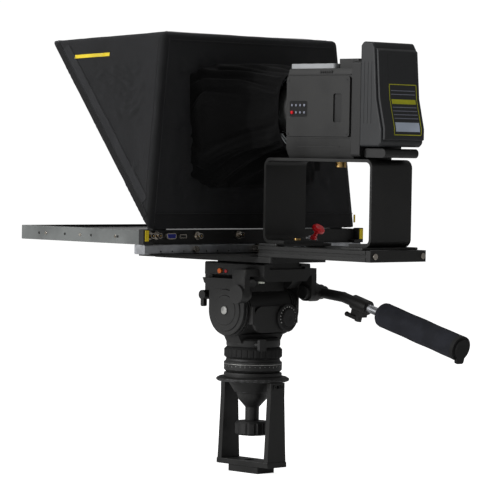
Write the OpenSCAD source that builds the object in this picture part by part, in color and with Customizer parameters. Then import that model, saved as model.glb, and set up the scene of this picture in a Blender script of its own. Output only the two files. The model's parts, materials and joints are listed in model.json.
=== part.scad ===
// Hooded teleprompter with camera, fluid head and short bowl stand.
// Millimetres, Z up. The talent side faces -Y, the operator stands on +Y.
// X = 0, Y = 0 is the pan axis and Z = 0 the underside of the foot.

/* [Stand] */
// width over the bowl ring
ring_w = 126; // [115:1:160]
// height of the top of the bowl ring
ring_z = 165; // [140:1:220]
// radius of the levelling ball
ball_r = 50; // [37.5:0.5:50]
// distance of each leg from the axis
leg_y = 57; // [54:1:62]
// leg width at the top
leg_top_w = 33; // [26:1:40]
// leg width at the foot
leg_foot_w = 42; // [36:1:50]
// leg thickness
leg_t = 10; // [6:1:14]

/* [Fluid head] */
// height of the tilt axis
tilt_z = 280; // [270:1:290]
// radius of the tilting drum
tilt_r = 44; // [38:1:44]
// radius of the round cheek covers
cheek_r = 43; // [36:1:46]
// half width over the cheek covers
cheek_x = 71; // [68:1:72]
// half width of the tilt platform
platform_x = 55; // [50:1:60]
// front end of the platform
platform_y0 = -66; // [-80:1:-60]
// rear end of the platform
platform_y1 = 80; // [70:1:90]
// radius of the counterbalance dial
dial_r = 24; // [18:1:26]

/* [Pan bar] */
// sideways position of the bar
bar_x = -104; // [-120:1:-102]
// bar radius
bar_r = 9; // [7:0.5:10]
// droop of the rear length of the bar, degrees
bar_droop = 15; // [0:1:30]
// grip radius
grip_r = 21.5; // [16:0.5:24]
// grip length
grip_len = 184; // [120:1:220]

/* [Base] */
// half width of the base plate and rails
base_x = 66.5; // [60:0.5:75]
// front end of the base plate
base_y0 = -184; // [-220:1:-160]
// rear end of the base plate
base_y1 = 108; // [90:1:140]
// rear end of the rails
rail_end_y = 337; // [300:1:400]
// half length of the cross bar
cross_x = 258; // [220:1:270]

/* [Monitor] */
// monitor width
monitor_w = 516; // [420:1:560]
// monitor depth, front to back
monitor_d = 310; // [280:1:340]
// monitor thickness
monitor_t = 24; // [20:1:34]

/* [Hood] */
// half width of the hood at the rear bottom
hood_xb = 248; // [220:1:254]
// half width of the hood at the rear top
hood_xt = 207; // [180:1:220]
// half width of the hood at the front top
hood_xf = 216; // [190:1:230]
// height of the rear top edge
hood_zt = 749; // [700:1:780]
// height of the front top edge
hood_zf = 737; // [690:1:760]
// front reach of the top panel
hood_yf = -291; // [-310:1:-260]
// fabric and lining thickness
hood_t = 2.6; // [2:0.1:4]
// half width of the lens opening
lens_open_x = 145; // [110:1:160]

/* [Camera] */
// half width of the camera body
cam_x = 48; // [40:1:55]
// front face of the camera
cam_y0 = 122; // [118:1:130]
// rear face of the camera
cam_y1 = 272; // [250:1:274]
// lens axis height
lens_z = 622; // [600:1:630]
// lens radius
lens_r = 40; // [30:1:44]
// battery width
battery_w = 100; // [90:1:110]

/* [Hidden] */
$fn = 64;
foot_y = leg_y + leg_t / 2 + 1;
foot_z0 = 12;
foot_z1 = 21;
run_gap = 0.05;
move_gap = 0.3;
ball_z = ring_z + 2;
ball_cut_z = 172;
seat_z = 160;
cup_z = 138;
cup_wall = 3.6;
drag_z0 = 196;
drag_z1 = 216;
drag_core_r = 42;
drag_ring_r = 50;
drum_r = 46.5;
drum_z1 = 232;
spindle_r = 15;
spindle_z1 = 228;
cheek_in = 49;
cheek_mid = 62;
plate_in = 62.4;
flange_z = 316;
shaft_r = 12;
dial_x = -26;
dial_z = 268;
wall_y0 = 47;
wall_y1 = 53;
plat_z0 = 331;
plat_z1 = 361;
slot_z0 = 352;
slot_lip = 356;
rosette_y = 50;
rosette_z = 310;
lug_x0 = 74;
lug_x1 = 86;
elbow_y = 113;
elbow_z = 304;
collar_s0 = 26;
collar_s1 = 62;
tube_r = 7;
grip_s0 = 94;
grip_s1 = grip_s0 + grip_len;
base_z0 = 364;
base_z1 = 374;
neck_z1 = 377;
rail_z1 = 393;
rail_w = 20;
rail_y0 = 75;
mon_z0 = 393;
mon_z1 = mon_z0 + monitor_t;
mon_y1 = -7;
mon_y0 = mon_y1 - monitor_d;
mon_wall = 4;
hood_zb = 419;
frame_w = 18;
frame_t = 10;
glass_t = 3;
riser_x = 48;
riser_y0 = 68;
riser_y1 = 319;
riser_z0 = 397;
riser_z1 = 541;
riser_t = 5;
riser_bend = 14;
bat_x = 2;
bat_y0 = 292;

// side plane of the hood: half width at a given depth and height
hood_q = ((hood_xf - hood_xb) - (hood_zf - hood_zb) * (hood_xt - hood_xb) / (hood_zt - hood_zb))
    / (hood_yf - (hood_zf - hood_zb) * (-12) / (hood_zt - hood_zb));
hood_p = ((hood_xt - hood_xb) + 12 * hood_q) / (hood_zt - hood_zb);
function side_x(y, z) = hood_xb + hood_p * (z - hood_zb) + hood_q * y;
hood_yt = -12;
top_slope = (hood_zf - hood_zt) / (hood_yf - hood_yt);
function top_z(y) = hood_zt + top_slope * (y - hood_yt);
slant = atan2(hood_zf - hood_zb, -hood_yf);

// ---- helpers ----

module rr(w, d, r) {
    square([w - 2 * r, d], center = true);
    square([w, d - 2 * r], center = true);
    for (x = [-1, 1], y = [-1, 1])
        translate([x * (w / 2 - r), y * (d / 2 - r)]) circle(r);
}

// box given by its low and high corners
module span(lo, hi) {
    translate(lo) cube([hi[0] - lo[0], hi[1] - lo[1], hi[2] - lo[2]]);
}

// rounded plate given by its low and high corners, rounded seen from above
module span_z(lo, hi, r) {
    translate([(lo[0] + hi[0]) / 2, (lo[1] + hi[1]) / 2, lo[2]])
        linear_extrude(hi[2] - lo[2]) rr(hi[0] - lo[0], hi[1] - lo[1], r);
}

// the same, rounded seen from the front
module span_y(lo, hi, r) {
    translate([(lo[0] + hi[0]) / 2, hi[1], (lo[2] + hi[2]) / 2]) rotate([90, 0, 0])
        linear_extrude(hi[1] - lo[1]) rr(hi[0] - lo[0], hi[2] - lo[2], r);
}

// the same, rounded seen from the side
module span_x(lo, hi, r) {
    translate([lo[0], (lo[1] + hi[1]) / 2, (lo[2] + hi[2]) / 2]) rotate([90, 0, 90])
        linear_extrude(hi[0] - lo[0]) rr(hi[1] - lo[1], hi[2] - lo[2], r);
}

module rod_x(x0, x1, y, z, r) {
    translate([x0, y, z]) rotate([0, 90, 0]) cylinder(h = x1 - x0, r = r);
}

module rod_y(y0, y1, x, z, r) {
    translate([x, y0, z]) rotate([-90, 0, 0]) cylinder(h = y1 - y0, r = r);
}

module rod_z(z0, z1, x, y, r) {
    translate([x, y, z0]) cylinder(h = z1 - z0, r = r);
}

// solid of revolution about X from a side profile of [radius, x]
module turned_x(pts, y, z) {
    translate([0, y, z]) rotate([0, 90, 0]) rotate_extrude() polygon(pts);
}

module both_x() {
    children();
    mirror([1, 0, 0]) children();
}

// ---- stand ----

function ball_cone_r(z) = ball_r / 50 * (27.4 + (z - cup_z) * 0.63);

module ball_seat(g, z_top) {
    intersection() {
        translate([0, 0, ball_z]) sphere(ball_r + g, $fn = 128);
        rod_z(seat_z - g, z_top, 0, 0, ball_r + 5);
    }
}

module stand_bowl() {
    color("DimGray") difference() {
        rotate_extrude() polygon([
            [0, cup_z], [ball_cone_r(cup_z) + cup_wall, cup_z],
            [ball_cone_r(ring_z - 8) + cup_wall, ring_z - 8], [ring_w / 2 - 3, ring_z - 8],
            [ring_w / 2, ring_z - 6], [ring_w / 2, ring_z - 3],
            [ring_w / 2 - 5, ring_z], [0, ring_z]]);
        ball_seat(run_gap, ball_cut_z);
        rotate_extrude() polygon([
            [0, cup_z - 1], [ball_cone_r(cup_z) + run_gap, cup_z - 1],
            [ball_cone_r(cup_z) + run_gap, cup_z],
            [ball_cone_r(seat_z) + run_gap, seat_z], [0, seat_z]]);
    }
}

module one_leg() {
    difference() {
        translate([0, leg_t / 2, 0]) rotate([90, 0, 0]) linear_extrude(leg_t) polygon([
            [-leg_foot_w / 2 - 1, foot_z1], [leg_foot_w / 2 + 1, foot_z1],
            [leg_foot_w / 2, 36], [leg_top_w / 2, 130], [leg_top_w / 2, ring_z - 8],
            [-leg_top_w / 2, ring_z - 8], [-leg_top_w / 2, 130], [-leg_foot_w / 2, 36]]);
        rod_y(-leg_t, leg_t, 0, 150, 3.05);
    }
}

module stand_legs() {
    color("DimGray") for (s = [-1, 1]) translate([0, s * leg_y, 0]) one_leg();
}

module stand_foot() {
    color("Gray") difference() {
        union() {
            span([-leg_foot_w / 2 - 2, -foot_y, foot_z0], [leg_foot_w / 2 + 2, foot_y, foot_z1]);
            span([-20, -36, 0], [20, 36, foot_z0 + 0.5]);
        }
        rod_z(-1, foot_z1 + 1, 0, 0, 6);
        rod_z(7, foot_z1 + 1, 0, 0, 12);
    }
}

module half_ball() {
    color("DimGray") union() {
        ball_seat(0, ball_cut_z);
        rotate_extrude() polygon([
            [0, 112], [12, 112], [ball_r / 2, 126.5], [ball_cone_r(cup_z), cup_z],
            [ball_cone_r(seat_z + 1), seat_z + 1], [0, seat_z + 1]]);
        rod_z(89, 113, 0, 0, 12);
        rod_z(62, 90, 0, 0, 8);
    }
}

module tie_down_knob() {
    color("Black") difference() {
        rotate_extrude() polygon([
            [0, 64], [25, 64], [29, 67], [29, 84], [26, 88], [14, 88.7], [0, 88.7]]);
        rod_z(60, 90, 0, 0, 8 + run_gap);
        for (a = [0 : 30 : 330]) rotate([0, 0, a]) rod_z(60, 90, 31.4, 0, 4);
    }
}

// ---- fluid head: pan ----

module pan_base() {
    color("DimGray") rotate_extrude() polygon([
        [0, 172], [45, 172], [48, 175], [50, 177], [50, 186], [49.2, 186.4], [49.2, 187.4],
        [50, 187.8], [50, 190], [47, 192.5], [46, drag_z0], [drag_core_r, drag_z0],
        [drag_core_r, drag_z1], [spindle_r, drag_z1], [spindle_r, spindle_z1],
        [0, spindle_z1]]);
}

module pan_drag_ring() {
    color("Black") difference() {
        rotate_extrude() polygon([
            [drag_core_r + run_gap, drag_z0 + move_gap], [46, drag_z0 + move_gap],
            [drag_ring_r, 200], [drag_ring_r, 212], [46.5, drag_z1 - move_gap],
            [drag_core_r + run_gap, drag_z1 - move_gap]]);
        for (a = [0 : 12 : 348]) rotate([0, 0, a]) rod_z(190, 220, 51.5, 0, 2.4);
    }
}

module pan_yoke() {
    color("DimGray") difference() {
        union() {
            rotate_extrude() polygon([
                [0, drag_z1 + move_gap], [45, drag_z1 + move_gap], [drum_r, 219],
                [drum_r, 228], [43, drum_z1], [0, drum_z1]]);
            translate([0, 18, 0]) rotate([90, 0, 0]) linear_extrude(36) polygon([
                [-46, 224], [46, 224], [58, 244], [58, 250], [-58, 250], [-58, 244]]);
            both_x() turned_x([
                [0, cheek_in], [46, cheek_in], [46, 51], [44.5, 51.5], [44.5, 53],
                [46, 53.5], [46, 55.5], [44, 56], [44, 57.5], [45.5, 58], [45.5, 60],
                [43, 60.5], [43, cheek_mid], [0, cheek_mid]], 0, tilt_z);
            span_y([-cheek_in - 1, wall_y0, 243], [cheek_in + 1, wall_y1, 288], 20);
            both_x() span([cheek_in, 30, 258], [cheek_in + 5, wall_y1, 288]);
        }
        rod_x(-cheek_in, cheek_in, 0, tilt_z, tilt_r + 1.5);
        rod_x(-cheek_mid - 1, cheek_mid + 1, 0, tilt_z, shaft_r + run_gap);
        rod_z(200, spindle_z1 + 0.6, 0, 0, spindle_r + run_gap);
        rod_y(wall_y0 - 1, wall_y1 + 1, dial_x, dial_z, 6 + run_gap);
        rod_y(40, 50, 33, 222, 4 + run_gap);
    }
}

module cheek_covers() {
    color("Gray") both_x() difference() {
        union() {
            turned_x([
                [0, plate_in], [cheek_r, plate_in], [cheek_r, 66], [cheek_r - 2, 67],
                [36, 67], [35, 69], [26, 69], [25, 70], [0, 70]], 0, tilt_z);
            span([plate_in, -cheek_r, tilt_z], [66, cheek_r, flange_z]);
            rod_x(69.9, cheek_x, 0, tilt_z, 8);
        }
        span([plate_in - 1, -cheek_r, flange_z], [cheek_x, cheek_r, flange_z + 10]);
    }
}

module pan_lock_lever() {
    color("Black") union() {
        rod_y(40.5, 52, 33, 222, 4);
        span_y([25, 52, 212], [41, 58, 232], 3);
    }
}

module counterbalance_dial() {
    color("Black") union() {
        translate([dial_x, 0, dial_z]) rotate([-90, 0, 0]) rotate_extrude() polygon([
            [0, 47.2], [6, 47.2], [6, wall_y1 + move_gap], [dial_r, wall_y1 + move_gap],
            [dial_r, 57], [dial_r - 2, 59], [15, 59], [14, 62], [0, 62]]);
    }
}

// ---- fluid head: tilt ----

module tilt_body() {
    color("DimGray") union() {
        rod_x(-48.4, 48.4, 0, tilt_z, tilt_r);
        rod_x(-plate_in, plate_in, 0, tilt_z, shaft_r);
        span([-42, -30, tilt_z], [42, 30, plat_z0]);
    }
}

module tilt_platform() {
    color("DimGray") difference() {
        union() {
            translate([0, platform_y1, 0]) rotate([90, 0, 0])
                linear_extrude(platform_y1 - platform_y0) polygon([
                    [-platform_x + 8, plat_z0], [platform_x - 8, plat_z0],
                    [platform_x, plat_z0 + 9], [platform_x, plat_z1 - 2],
                    [platform_x - 2, plat_z1], [-platform_x + 2, plat_z1],
                    [-platform_x, plat_z1 - 2], [-platform_x, plat_z0 + 9]]);
            both_x() {
                span_z([50, rosette_y - 17, 340], [lug_x1, rosette_y + 17, 352], 4);
                span_x([lug_x0, rosette_y - 15, rosette_z - 15],
                    [lug_x1, rosette_y + 15, 352], 12);
                rod_x(lug_x1 - 1, 92, rosette_y, rosette_z, 16);
                rod_x(66.05, lug_x0 + 1, rosette_y, rosette_z, 12);
                difference() {
                    translate([42.05, 0, 0]) rotate([90, 0, 90]) linear_extrude(23.95) polygon([
                        [-36, flange_z], [36, flange_z], [48, 325], [52, plat_z0 + 3],
                        [-60, plat_z0 + 3], [-56, 325]]);
                    rod_x(40, plate_in, 0, tilt_z, 46.8);
                }
                span([plate_in, -cheek_r, flange_z], [66, cheek_r, 326]);
            }
            span([44, -66, 296], [platform_x - 1, -48, 341]);
        }
        span([-42.3, platform_y0 - 1, slot_z0 - move_gap],
            [42.3, platform_y1 + 1, slot_lip + move_gap]);
        span([-34.3, platform_y0 - 1, slot_z0], [34.3, platform_y1 + 1, plat_z1 + 1]);
        rod_x(45, platform_x + 1, -27, 346, 4.5 + run_gap);
        rod_x(45, platform_x + 1, -13, 346, 3 + run_gap);
        rod_x(40, platform_x + 1, -57, 304, 4 + run_gap);
        rod_x(-93, -70, rosette_y, rosette_z, 4 + run_gap);
    }
}

module bubble_level() {
    color("White") rod_z(327.5, plat_z0, 40, 58, 6);
}

module tilt_lock_lever() {
    color("Black") union() {
        rod_x(45, 56, -57, 304, 4);
        rod_x(platform_x - 0.7, 70, -57, 304, 8);
        span_x([60, -62, 284], [68, -54, 304], 3);
    }
}

module release_button() {
    color("OrangeRed") rod_x(48.5, 58.5, -27, 346, 4.5);
}

module safety_button() {
    color("Red") rod_x(48.5, 56.5, -13, 346, 3);
}

// ---- pan bar ----

module along_bar() {
    translate([bar_x, elbow_y, elbow_z]) rotate([-bar_droop, 0, 0]) children();
}

first_len = sqrt(pow(elbow_y - rosette_y, 2) + pow(elbow_z - rosette_z, 2));
first_tilt = atan2(elbow_z - rosette_z, elbow_y - rosette_y);

module pan_bar() {
    color("Black") difference() {
        union() {
            rod_x(-99, -92.3, rosette_y, rosette_z, 16);
            rod_x(bar_x - 9, -98.5, rosette_y, rosette_z, 13);
            translate([bar_x, rosette_y, rosette_z]) rotate([first_tilt - 90, 0, 0])
                cylinder(h = first_len, r = bar_r - 0.05);
            translate([bar_x, elbow_y, elbow_z]) sphere(bar_r + 0.25);
            along_bar() rotate([-90, 0, 0]) cylinder(h = collar_s0 + 1, r = bar_r);
            along_bar() rotate([-90, 0, 0]) translate([0, 0, collar_s0])
                cylinder(h = collar_s1 - collar_s0, r = 12.5);
            along_bar() span([-7, collar_s0 + 4, -19], [7, collar_s1 - 6, -8]);
        }
        along_bar() rod_y(6, 90, 0, 0, tube_r + run_gap);
        along_bar() rod_z(-20, -11, 0, 44, 3 + run_gap);
        rod_x(bar_x - 10, -90, rosette_y, rosette_z, 4 + run_gap);
    }
}

module rosette_knob() {
    color("Black") union() {
        rod_x(bar_x - 9.3, -75, rosette_y, rosette_z, 4);
        rod_x(bar_x - 19, bar_x - 9.3, rosette_y, rosette_z, 10);
        rod_x(bar_x - 22, bar_x - 18, rosette_y, rosette_z, 6);
    }
}

module clamp_lever() {
    color("Black") along_bar() union() {
        rod_z(-22, -11.5, 0, 44, 3);
        rod_z(-29, -19.3, 0, 44, 6);
        rod_y(16, 44, 0, -25, 4);
        translate([0, 16, -25]) sphere(4.4);
    }
}

module bar_tube() {
    color("Gray") along_bar() difference() {
        rod_y(10, grip_s1 - 2, 0, 0, tube_r);
        rod_y(9, grip_s1 - 8, 0, 0, 5.2);
    }
}

module foam_grip() {
    color("Black") along_bar() difference() {
        union() {
            rod_y(grip_s0 + 5, grip_s1 - 4, 0, 0, grip_r);
            translate([0, grip_s0, 0]) rotate([-90, 0, 0])
                cylinder(h = 5.01, r1 = grip_r - 4, r2 = grip_r);
        }
        rod_y(grip_s0 - 1, grip_s1 + 1, 0, 0, tube_r);
    }
}

module grip_cap() {
    color("Black") along_bar() difference() {
        union() {
            rod_y(grip_s1 - 4, grip_s1 + 3, 0, 0, grip_r);
            rod_y(grip_s1 + 2, grip_s1 + 7, 0, 0, grip_r - 5);
            span_y([-9, grip_s1 + 2, -25], [9, grip_s1 + 7, -6], 4);
        }
        rod_y(grip_s1 - 5, grip_s1 - 2, 0, 0, tube_r);
    }
}

// ---- base ----

module slide_plate() {
    color("Black") difference() {
        union() {
            span([-42, -57, slot_z0], [42, 75, slot_lip]);
            span([-34, -57, slot_lip - 0.1], [34, 75, base_z0]);
        }
        rod_z(slot_z0 - 1, base_z0 + 1, 0, -20, 3.3);
        rod_z(slot_z0 - 1, base_z0 + 1, 0, 40, 3.3);
    }
}

module base_plate() {
    color("DimGray") difference() {
        span_z([-base_x, base_y0, base_z0], [base_x, base_y1, base_z1], 5);
        for (y = [-150, -110, -70]) span_z([-5, y, base_z0 - 1], [5, y + 26, base_z1 + 1], 4.9);
        rod_z(base_z0 - 1, base_z1 + 1, 0, -20, 3.3);
        rod_z(base_z0 - 1, base_z1 + 1, 0, 40, 3.3);
        for (x = [-40, 40], y = [-140, -60]) rod_z(base_z0 - 1, base_z1 + 1, x, y, 4.5);
    }
}

module cross_bar() {
    color("Silver") {
        difference() {
            span_x([-cross_x, -22, neck_z1], [cross_x, 4, mon_z0], 2);
            rod_y(-8, 5, 3, 385, 3 + run_gap);
            for (s = [-1, 1]) rod_y(-8, 5, s * 144, 385, 3 + run_gap);
            for (s = [-1, 1], x = [40 : 26 : 234]) rod_y(-8, 5, s * x, 381.5, 1.6);
        }
        span([-60, -180, base_z1], [60, -160, mon_z0]);
    }
}

module neck_plate() {
    color("DimGray") difference() {
        translate([0, 0, base_z1]) linear_extrude(neck_z1 - base_z1) polygon([
            [-244, -26], [244, -26], [244, 8], [158, 27], [90, 66], [rail_y0, 74],
            [-rail_y0, 74], [-90, 66], [-158, 27], [-244, 8]]);
        for (s = [-1, 1], x = [96, 200]) rod_z(base_z1 - 1, neck_z1 + 1, s * x, 14 - x / 40, 3);
        rod_z(base_z1 - 1, neck_z1 + 1, 0, 40, 3.3);
    }
}

module rails() {
    color("Black") both_x() translate([base_x - rail_w / 2, rail_end_y - 12, base_z1])
        rotate([90, 0, 0]) linear_extrude(rail_end_y - 12 - rail_y0) difference() {
            translate([0, 9.5]) rr(rail_w, rail_z1 - base_z1, 1.5);
            translate([rail_w / 2 - 3, 6.5]) square([4, 6]);
            translate([-rail_w / 2 - 1, 6.5]) square([4, 6]);
            translate([-3, 15]) square([6, 5]);
            translate([-5, 12.5]) square([10, 3]);
        }
}

module rail_end_bar() {
    color("Black") difference() {
        span_z([-base_x, rail_end_y - 12, base_z1], [base_x, rail_end_y, rail_z1], 2);
        for (s = [-1, 1]) rod_y(rail_end_y - 8, rail_end_y + 1, s * 57, 383.5, 3);
    }
}

module frame_screws() {
    color("Silver") {
        for (s = [-1, 1]) {
            rod_y(rail_end_y - 8, rail_end_y, s * 57, 383.5, 3);
            rod_y(rail_end_y, rail_end_y + 2.5, s * 57, 383.5, 5);
            rod_y(4, 9, s * 144, 385, 5.5);
            for (y = [-250, -160, -70]) rod_x(monitor_w / 2, monitor_w / 2 + 1.2, s * 0 + y, 405, 2.6);
            for (y = [-250, -160, -70]) rod_x(-monitor_w / 2 - 1.2, -monitor_w / 2, y, 405, 2.6);
        }
    }
}

module knob_frame() {
    translate([-102, 26, 384]) rotate([-36, 0, 0]) children();
}

module knob_bracket() {
    color("LightGray") difference() {
        union() {
            span_z([-128, 12, neck_z1], [-78, 46, neck_z1 + 3], 3);
            span([-126, 12, neck_z1 + 2], [-78, 16, 404]);
            span([-106, 15, neck_z1 + 2], [-98, 32, 392]);
            knob_frame() rod_z(4, 22, 0, 0, 9);
        }
        knob_frame() rod_z(2, 30, 0, 0, 3.5 + run_gap);
    }
}

module red_knob() {
    color("Red") knob_frame() union() {
        rod_z(6, 42, 0, 0, 3.5);
        rod_z(22.3, 27, 0, 0, 6);
        rotate_extrude() polygon([[0, 38], [8, 38], [11.5, 41], [11.5, 45], [8, 48.5], [0, 49.5]]);
    }
}

module centre_knob() {
    color("Silver") union() {
        rod_y(-7, 6, 3, 385, 3);
        difference() {
            rod_y(4.3, 14, 3, 385, 8);
            for (a = [0 : 30 : 330]) translate([3, 0, 385]) rotate([0, a, 0]) rod_y(4, 15, 9, 0, 2);
        }
    }
}

// ---- monitor ----

module monitor_case() {
    color("DarkGray") difference() {
        span_z([-monitor_w / 2, mon_y0, mon_z0], [monitor_w / 2, mon_y1, mon_z1], 3);
        span([-monitor_w / 2 + mon_wall, mon_y0 + mon_wall, mon_z0 - 1],
            [monitor_w / 2 - mon_wall, mon_y1 - mon_wall, mon_z1 - 3]);
        span([-monitor_w / 2 + 16, mon_y0 + 14, mon_z1 - 4],
            [monitor_w / 2 - 16, mon_y1 - 14, mon_z1 + 1]);
    }
}

module monitor_cover() {
    color("DimGray") difference() {
        span([-monitor_w / 2 + mon_wall, mon_y0 + mon_wall, mon_z0],
            [monitor_w / 2 - mon_wall, mon_y1 - mon_wall, mon_z0 + 2.5]);
        for (x = [-150 : 12 : 150]) span_z([x - 2, -120, mon_z0 - 1], [x + 2, -80, mon_z0 + 3], 1.9);
    }
}

module screen_panel() {
    color("Black") span([-monitor_w / 2 + 6, mon_y0 + 6, mon_z1 - 12],
        [monitor_w / 2 - 6, mon_y1 - 6, mon_z1 - 6]);
}

module screen_glass() {
    color("Black") span([-monitor_w / 2 + 6, mon_y0 + 6, mon_z1 - 6],
        [monitor_w / 2 - 6, mon_y1 - 6, mon_z1 - 3]);
}

module bnc(x, z) {
    rod_y(mon_y1, 6, x, z, 4.8);
    rod_y(mon_y1, mon_y1 + 4, x, z, 7);
}

module monitor_sockets() {
    color("Silver") {
        bnc(241, 408);
        bnc(225, 408);
        bnc(132, 407);
        bnc(35, 408);
        span_y([184, mon_y1, 402], [206, 1, 412], 4);
        span_y([158, mon_y1, 403], [174, -2, 410], 1.5);
    }
}

module corner_blocks() {
    color("Black") both_x() difference() {
        span_z([240, mon_y1, mon_z0], [263, 6, hood_zb - 0.3], 2);
        span([238, mon_y1 - 1, 398], [250, 7, hood_zb]);
    }
}

// ---- hood ----

module in_glass_plane() {
    translate([0, -4, hood_zb - 0.5]) rotate([180 - slant, 0, 0]) children();
}

frame_v0 = 13;
frame_v1 = 414;
frame_x0 = 240;
frame_x1 = 208;

module frame_outline(inset) {
    polygon([
        [-frame_x0 + inset, frame_v0 + inset], [frame_x0 - inset, frame_v0 + inset],
        [frame_x1 - inset, frame_v1 - inset], [-frame_x1 + inset, frame_v1 - inset]]);
}

module glass_frame() {
    color("Black") union() {
        in_glass_plane() translate([0, 0, -frame_t]) linear_extrude(frame_t) difference() {
            frame_outline(0);
            frame_outline(frame_w);
        }
        both_x() span([196, -26, mon_z1], [226, -12, 434]);
    }
}

module beam_glass() {
    color("LightBlue", 0.4) in_glass_plane() translate([0, 0, -7])
        linear_extrude(glass_t) frame_outline(frame_w);
}

module wedge(ya, za, yb, zb, yc, zc, inset) {
    xa = side_x(ya, za) - inset;
    xb = side_x(yb, zb) - inset;
    xc = side_x(yc, zc) - inset;
    polyhedron(
        points = [[-xa, ya, za], [xa, ya, za], [-xb, yb, zb], [xb, yb, zb], [-xc, yc, zc], [xc, yc, zc]],
        faces = [[0, 2, 4], [1, 5, 3], [0, 1, 3, 2], [2, 3, 5, 4], [4, 5, 1, 0]]);
}

module hood_cover() {
    color("DarkSlateGray") difference() {
        wedge(0, hood_zb, hood_yt, hood_zt, hood_yf, hood_zf, 0);
        wedge(-hood_t, hood_zb - 19, hood_yt - hood_t, top_z(hood_yt) - hood_t,
            hood_yf - 29, top_z(hood_yf - 29) - hood_t, hood_t);
        span_y([-lens_open_x, -40, 490], [lens_open_x, 10, 696], 30);
    }
}

module hood_trim() {
    color("Gold") {
        both_x() span([252, 6, 399], [260, 7.2, 417]);
        span_z([-251, -6, 428], [-248, -3, 442], 1);
    }
}

module ring_block(w, y, z0, z1, t) {
    span_y([-w, y, z0], [w, y + t, z1], 18);
}

module lens_sleeve() {
    color("Black") difference() {
        union() {
            hull() {
                ring_block(lens_open_x + 4, 0.2, 486, 700, 1, $fn = 32);
                ring_block(80, 58, 546, 694, 1, $fn = 32);
            }
            hull() {
                ring_block(80, 58, 546, 694, 1, $fn = 32);
                ring_block(60, 112, 554, 688, 1, $fn = 32);
            }
        }
        hull() {
            ring_block(lens_open_x, -1, 490, 696, 1, $fn = 32);
            ring_block(76, 58, 550, 690, 1, $fn = 32);
        }
        hull() {
            ring_block(76, 58, 550, 690, 1, $fn = 32);
            ring_block(56, 113, 558, 684, 1, $fn = 32);
        }
    }
}

// ---- riser ----

module rail_shoes() {
    color("Black") {
        difference() {
            span_z([-base_x, riser_y0 + 8, rail_z1], [base_x, riser_y0 + 52, riser_z0], 3);
            rod_z(390, 400, 0, riser_y0 + 34, 3.3);
        }
        difference() {
            span_z([-base_x, riser_y1 - 52, rail_z1], [base_x, riser_y1, riser_z0], 3);
            rod_z(390, 400, 0, riser_y1 - 34, 3.3);
        }
    }
}

module riser_bridge() {
    color("Black") difference() {
        translate([-riser_x, 0, 0]) rotate([90, 0, 90]) linear_extrude(2 * riser_x) difference() {
            translate([(riser_y0 + riser_y1) / 2, (riser_z0 + riser_z1) / 2])
                rr(riser_y1 - riser_y0, riser_z1 - riser_z0, riser_bend);
            translate([(riser_y0 + riser_y1) / 2, (riser_z0 + riser_z1) / 2])
                rr(riser_y1 - riser_y0 - 2 * riser_t, riser_z1 - riser_z0 - 2 * riser_t,
                    riser_bend - riser_t);
            translate([riser_y0 + 50, riser_z0 - 5])
                square([riser_y1 - riser_y0 - 100, 20]);
        }
        rod_z(530, 550, 0, 202, 4.8);
        rod_z(530, 550, 0, 150, 3.3);
        for (y = [riser_y0 + 34, riser_y1 - 34]) rod_z(390, 410, 0, y, 3.3);
    }
}

module riser_screws() {
    color("Goldenrod") {
        for (y = [riser_y0 + 34, riser_y1 - 34]) union() {
            rod_z(riser_z0 + riser_t, riser_z0 + riser_t + 3, 0, y, 6);
            rod_z(394, riser_z0 + riser_t + 1, 0, y, 3.2);
        }
        union() {
            rod_z(527, 536, 0, 202, 9);
            rod_z(535, 548, 0, 202, 4.7);
        }
    }
}

// ---- camera ----

module camera_body() {
    color("DimGray") difference() {
        union() {
            translate([0, cam_y1, 0]) rotate([90, 0, 0])
                linear_extrude(cam_y1 - cam_y0) polygon([
                    [-cam_x, riser_z1], [cam_x - 6, riser_z1], [cam_x + 2, 556], [cam_x + 2, 577],
                    [cam_x, 577], [cam_x, 678], [cam_x - 4, 690], [-cam_x + 4, 690],
                    [-cam_x, 684]]);
            span_z([-64, 186, 562], [-cam_x + 1, cam_y1 - 2, 686], 4);
            span_z([-30, 226, 689], [34, cam_y1, 706], 3);
            rod_y(100, cam_y0 + 1, 0, lens_z, 50);
        }
        rod_y(99, cam_y0 + 10, 0, lens_z, 36);
        rod_z(riser_z1 - 1, 552, 0, 202, 4.8);
        rod_z(561, 571, -70, 181, 17.5 + run_gap);
        rod_z(570, 693, -70, 181, 15 + run_gap);
    }
}

module side_panel() {
    color("DimGray") difference() {
        span_x([cam_x, cam_y0 + 1, 577.2], [cam_x + 4, cam_y1 - 3, 677], 5);
        span_x([cam_x + 1, 232, 601], [cam_x + 5, 251, 648], 3);
        span_x([cam_x + 3, 131, 610], [cam_x + 5, 172, 636], 3);
        rod_x(cam_x + 0.5, cam_x + 5, 137, 617, 2.8 + run_gap);
    }
}

module camera_keypad() {
    color("Silver") union() {
        difference() {
            span_x([cam_x + 3, 131.2, 610.2], [cam_x + 3.6, 171.8, 635.8], 3);
            rod_x(cam_x + 2, cam_x + 5, 137, 617, 2.8 + run_gap);
        }
        for (i = [0 : 3], j = [0, 1]) if (i + 4 * j > 0)
            rod_x(cam_x + 3.5, cam_x + 5, 137 + i * 9.6, 617 + j * 12, 2);
    }
}

module record_key() {
    color("Red") rod_x(cam_x + 2, cam_x + 6, 137, 617, 2.8);
}

module camera_top() {
    color("Silver") difference() {
        span_z([-40, cam_y0 + 1, 690], [cam_x - 4, 225.5, 698], 5);
        for (y = [140, 172, 204]) rod_z(694, 699, 28, y, 4.5);
        span_z([-24, 136, 694], [4, 210, 699], 4);
    }
}

module camera_grip() {
    color("Gray") union() {
        rod_z(570, 692, -70, 181, 15);
        rod_z(563, 570.5, -70, 181, 17.5);
        span([-70, 170, 584], [-64, 186, 680]);
        span([-64, 170, 584], [-cam_x, 185.9, 680]);
    }
}

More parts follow.
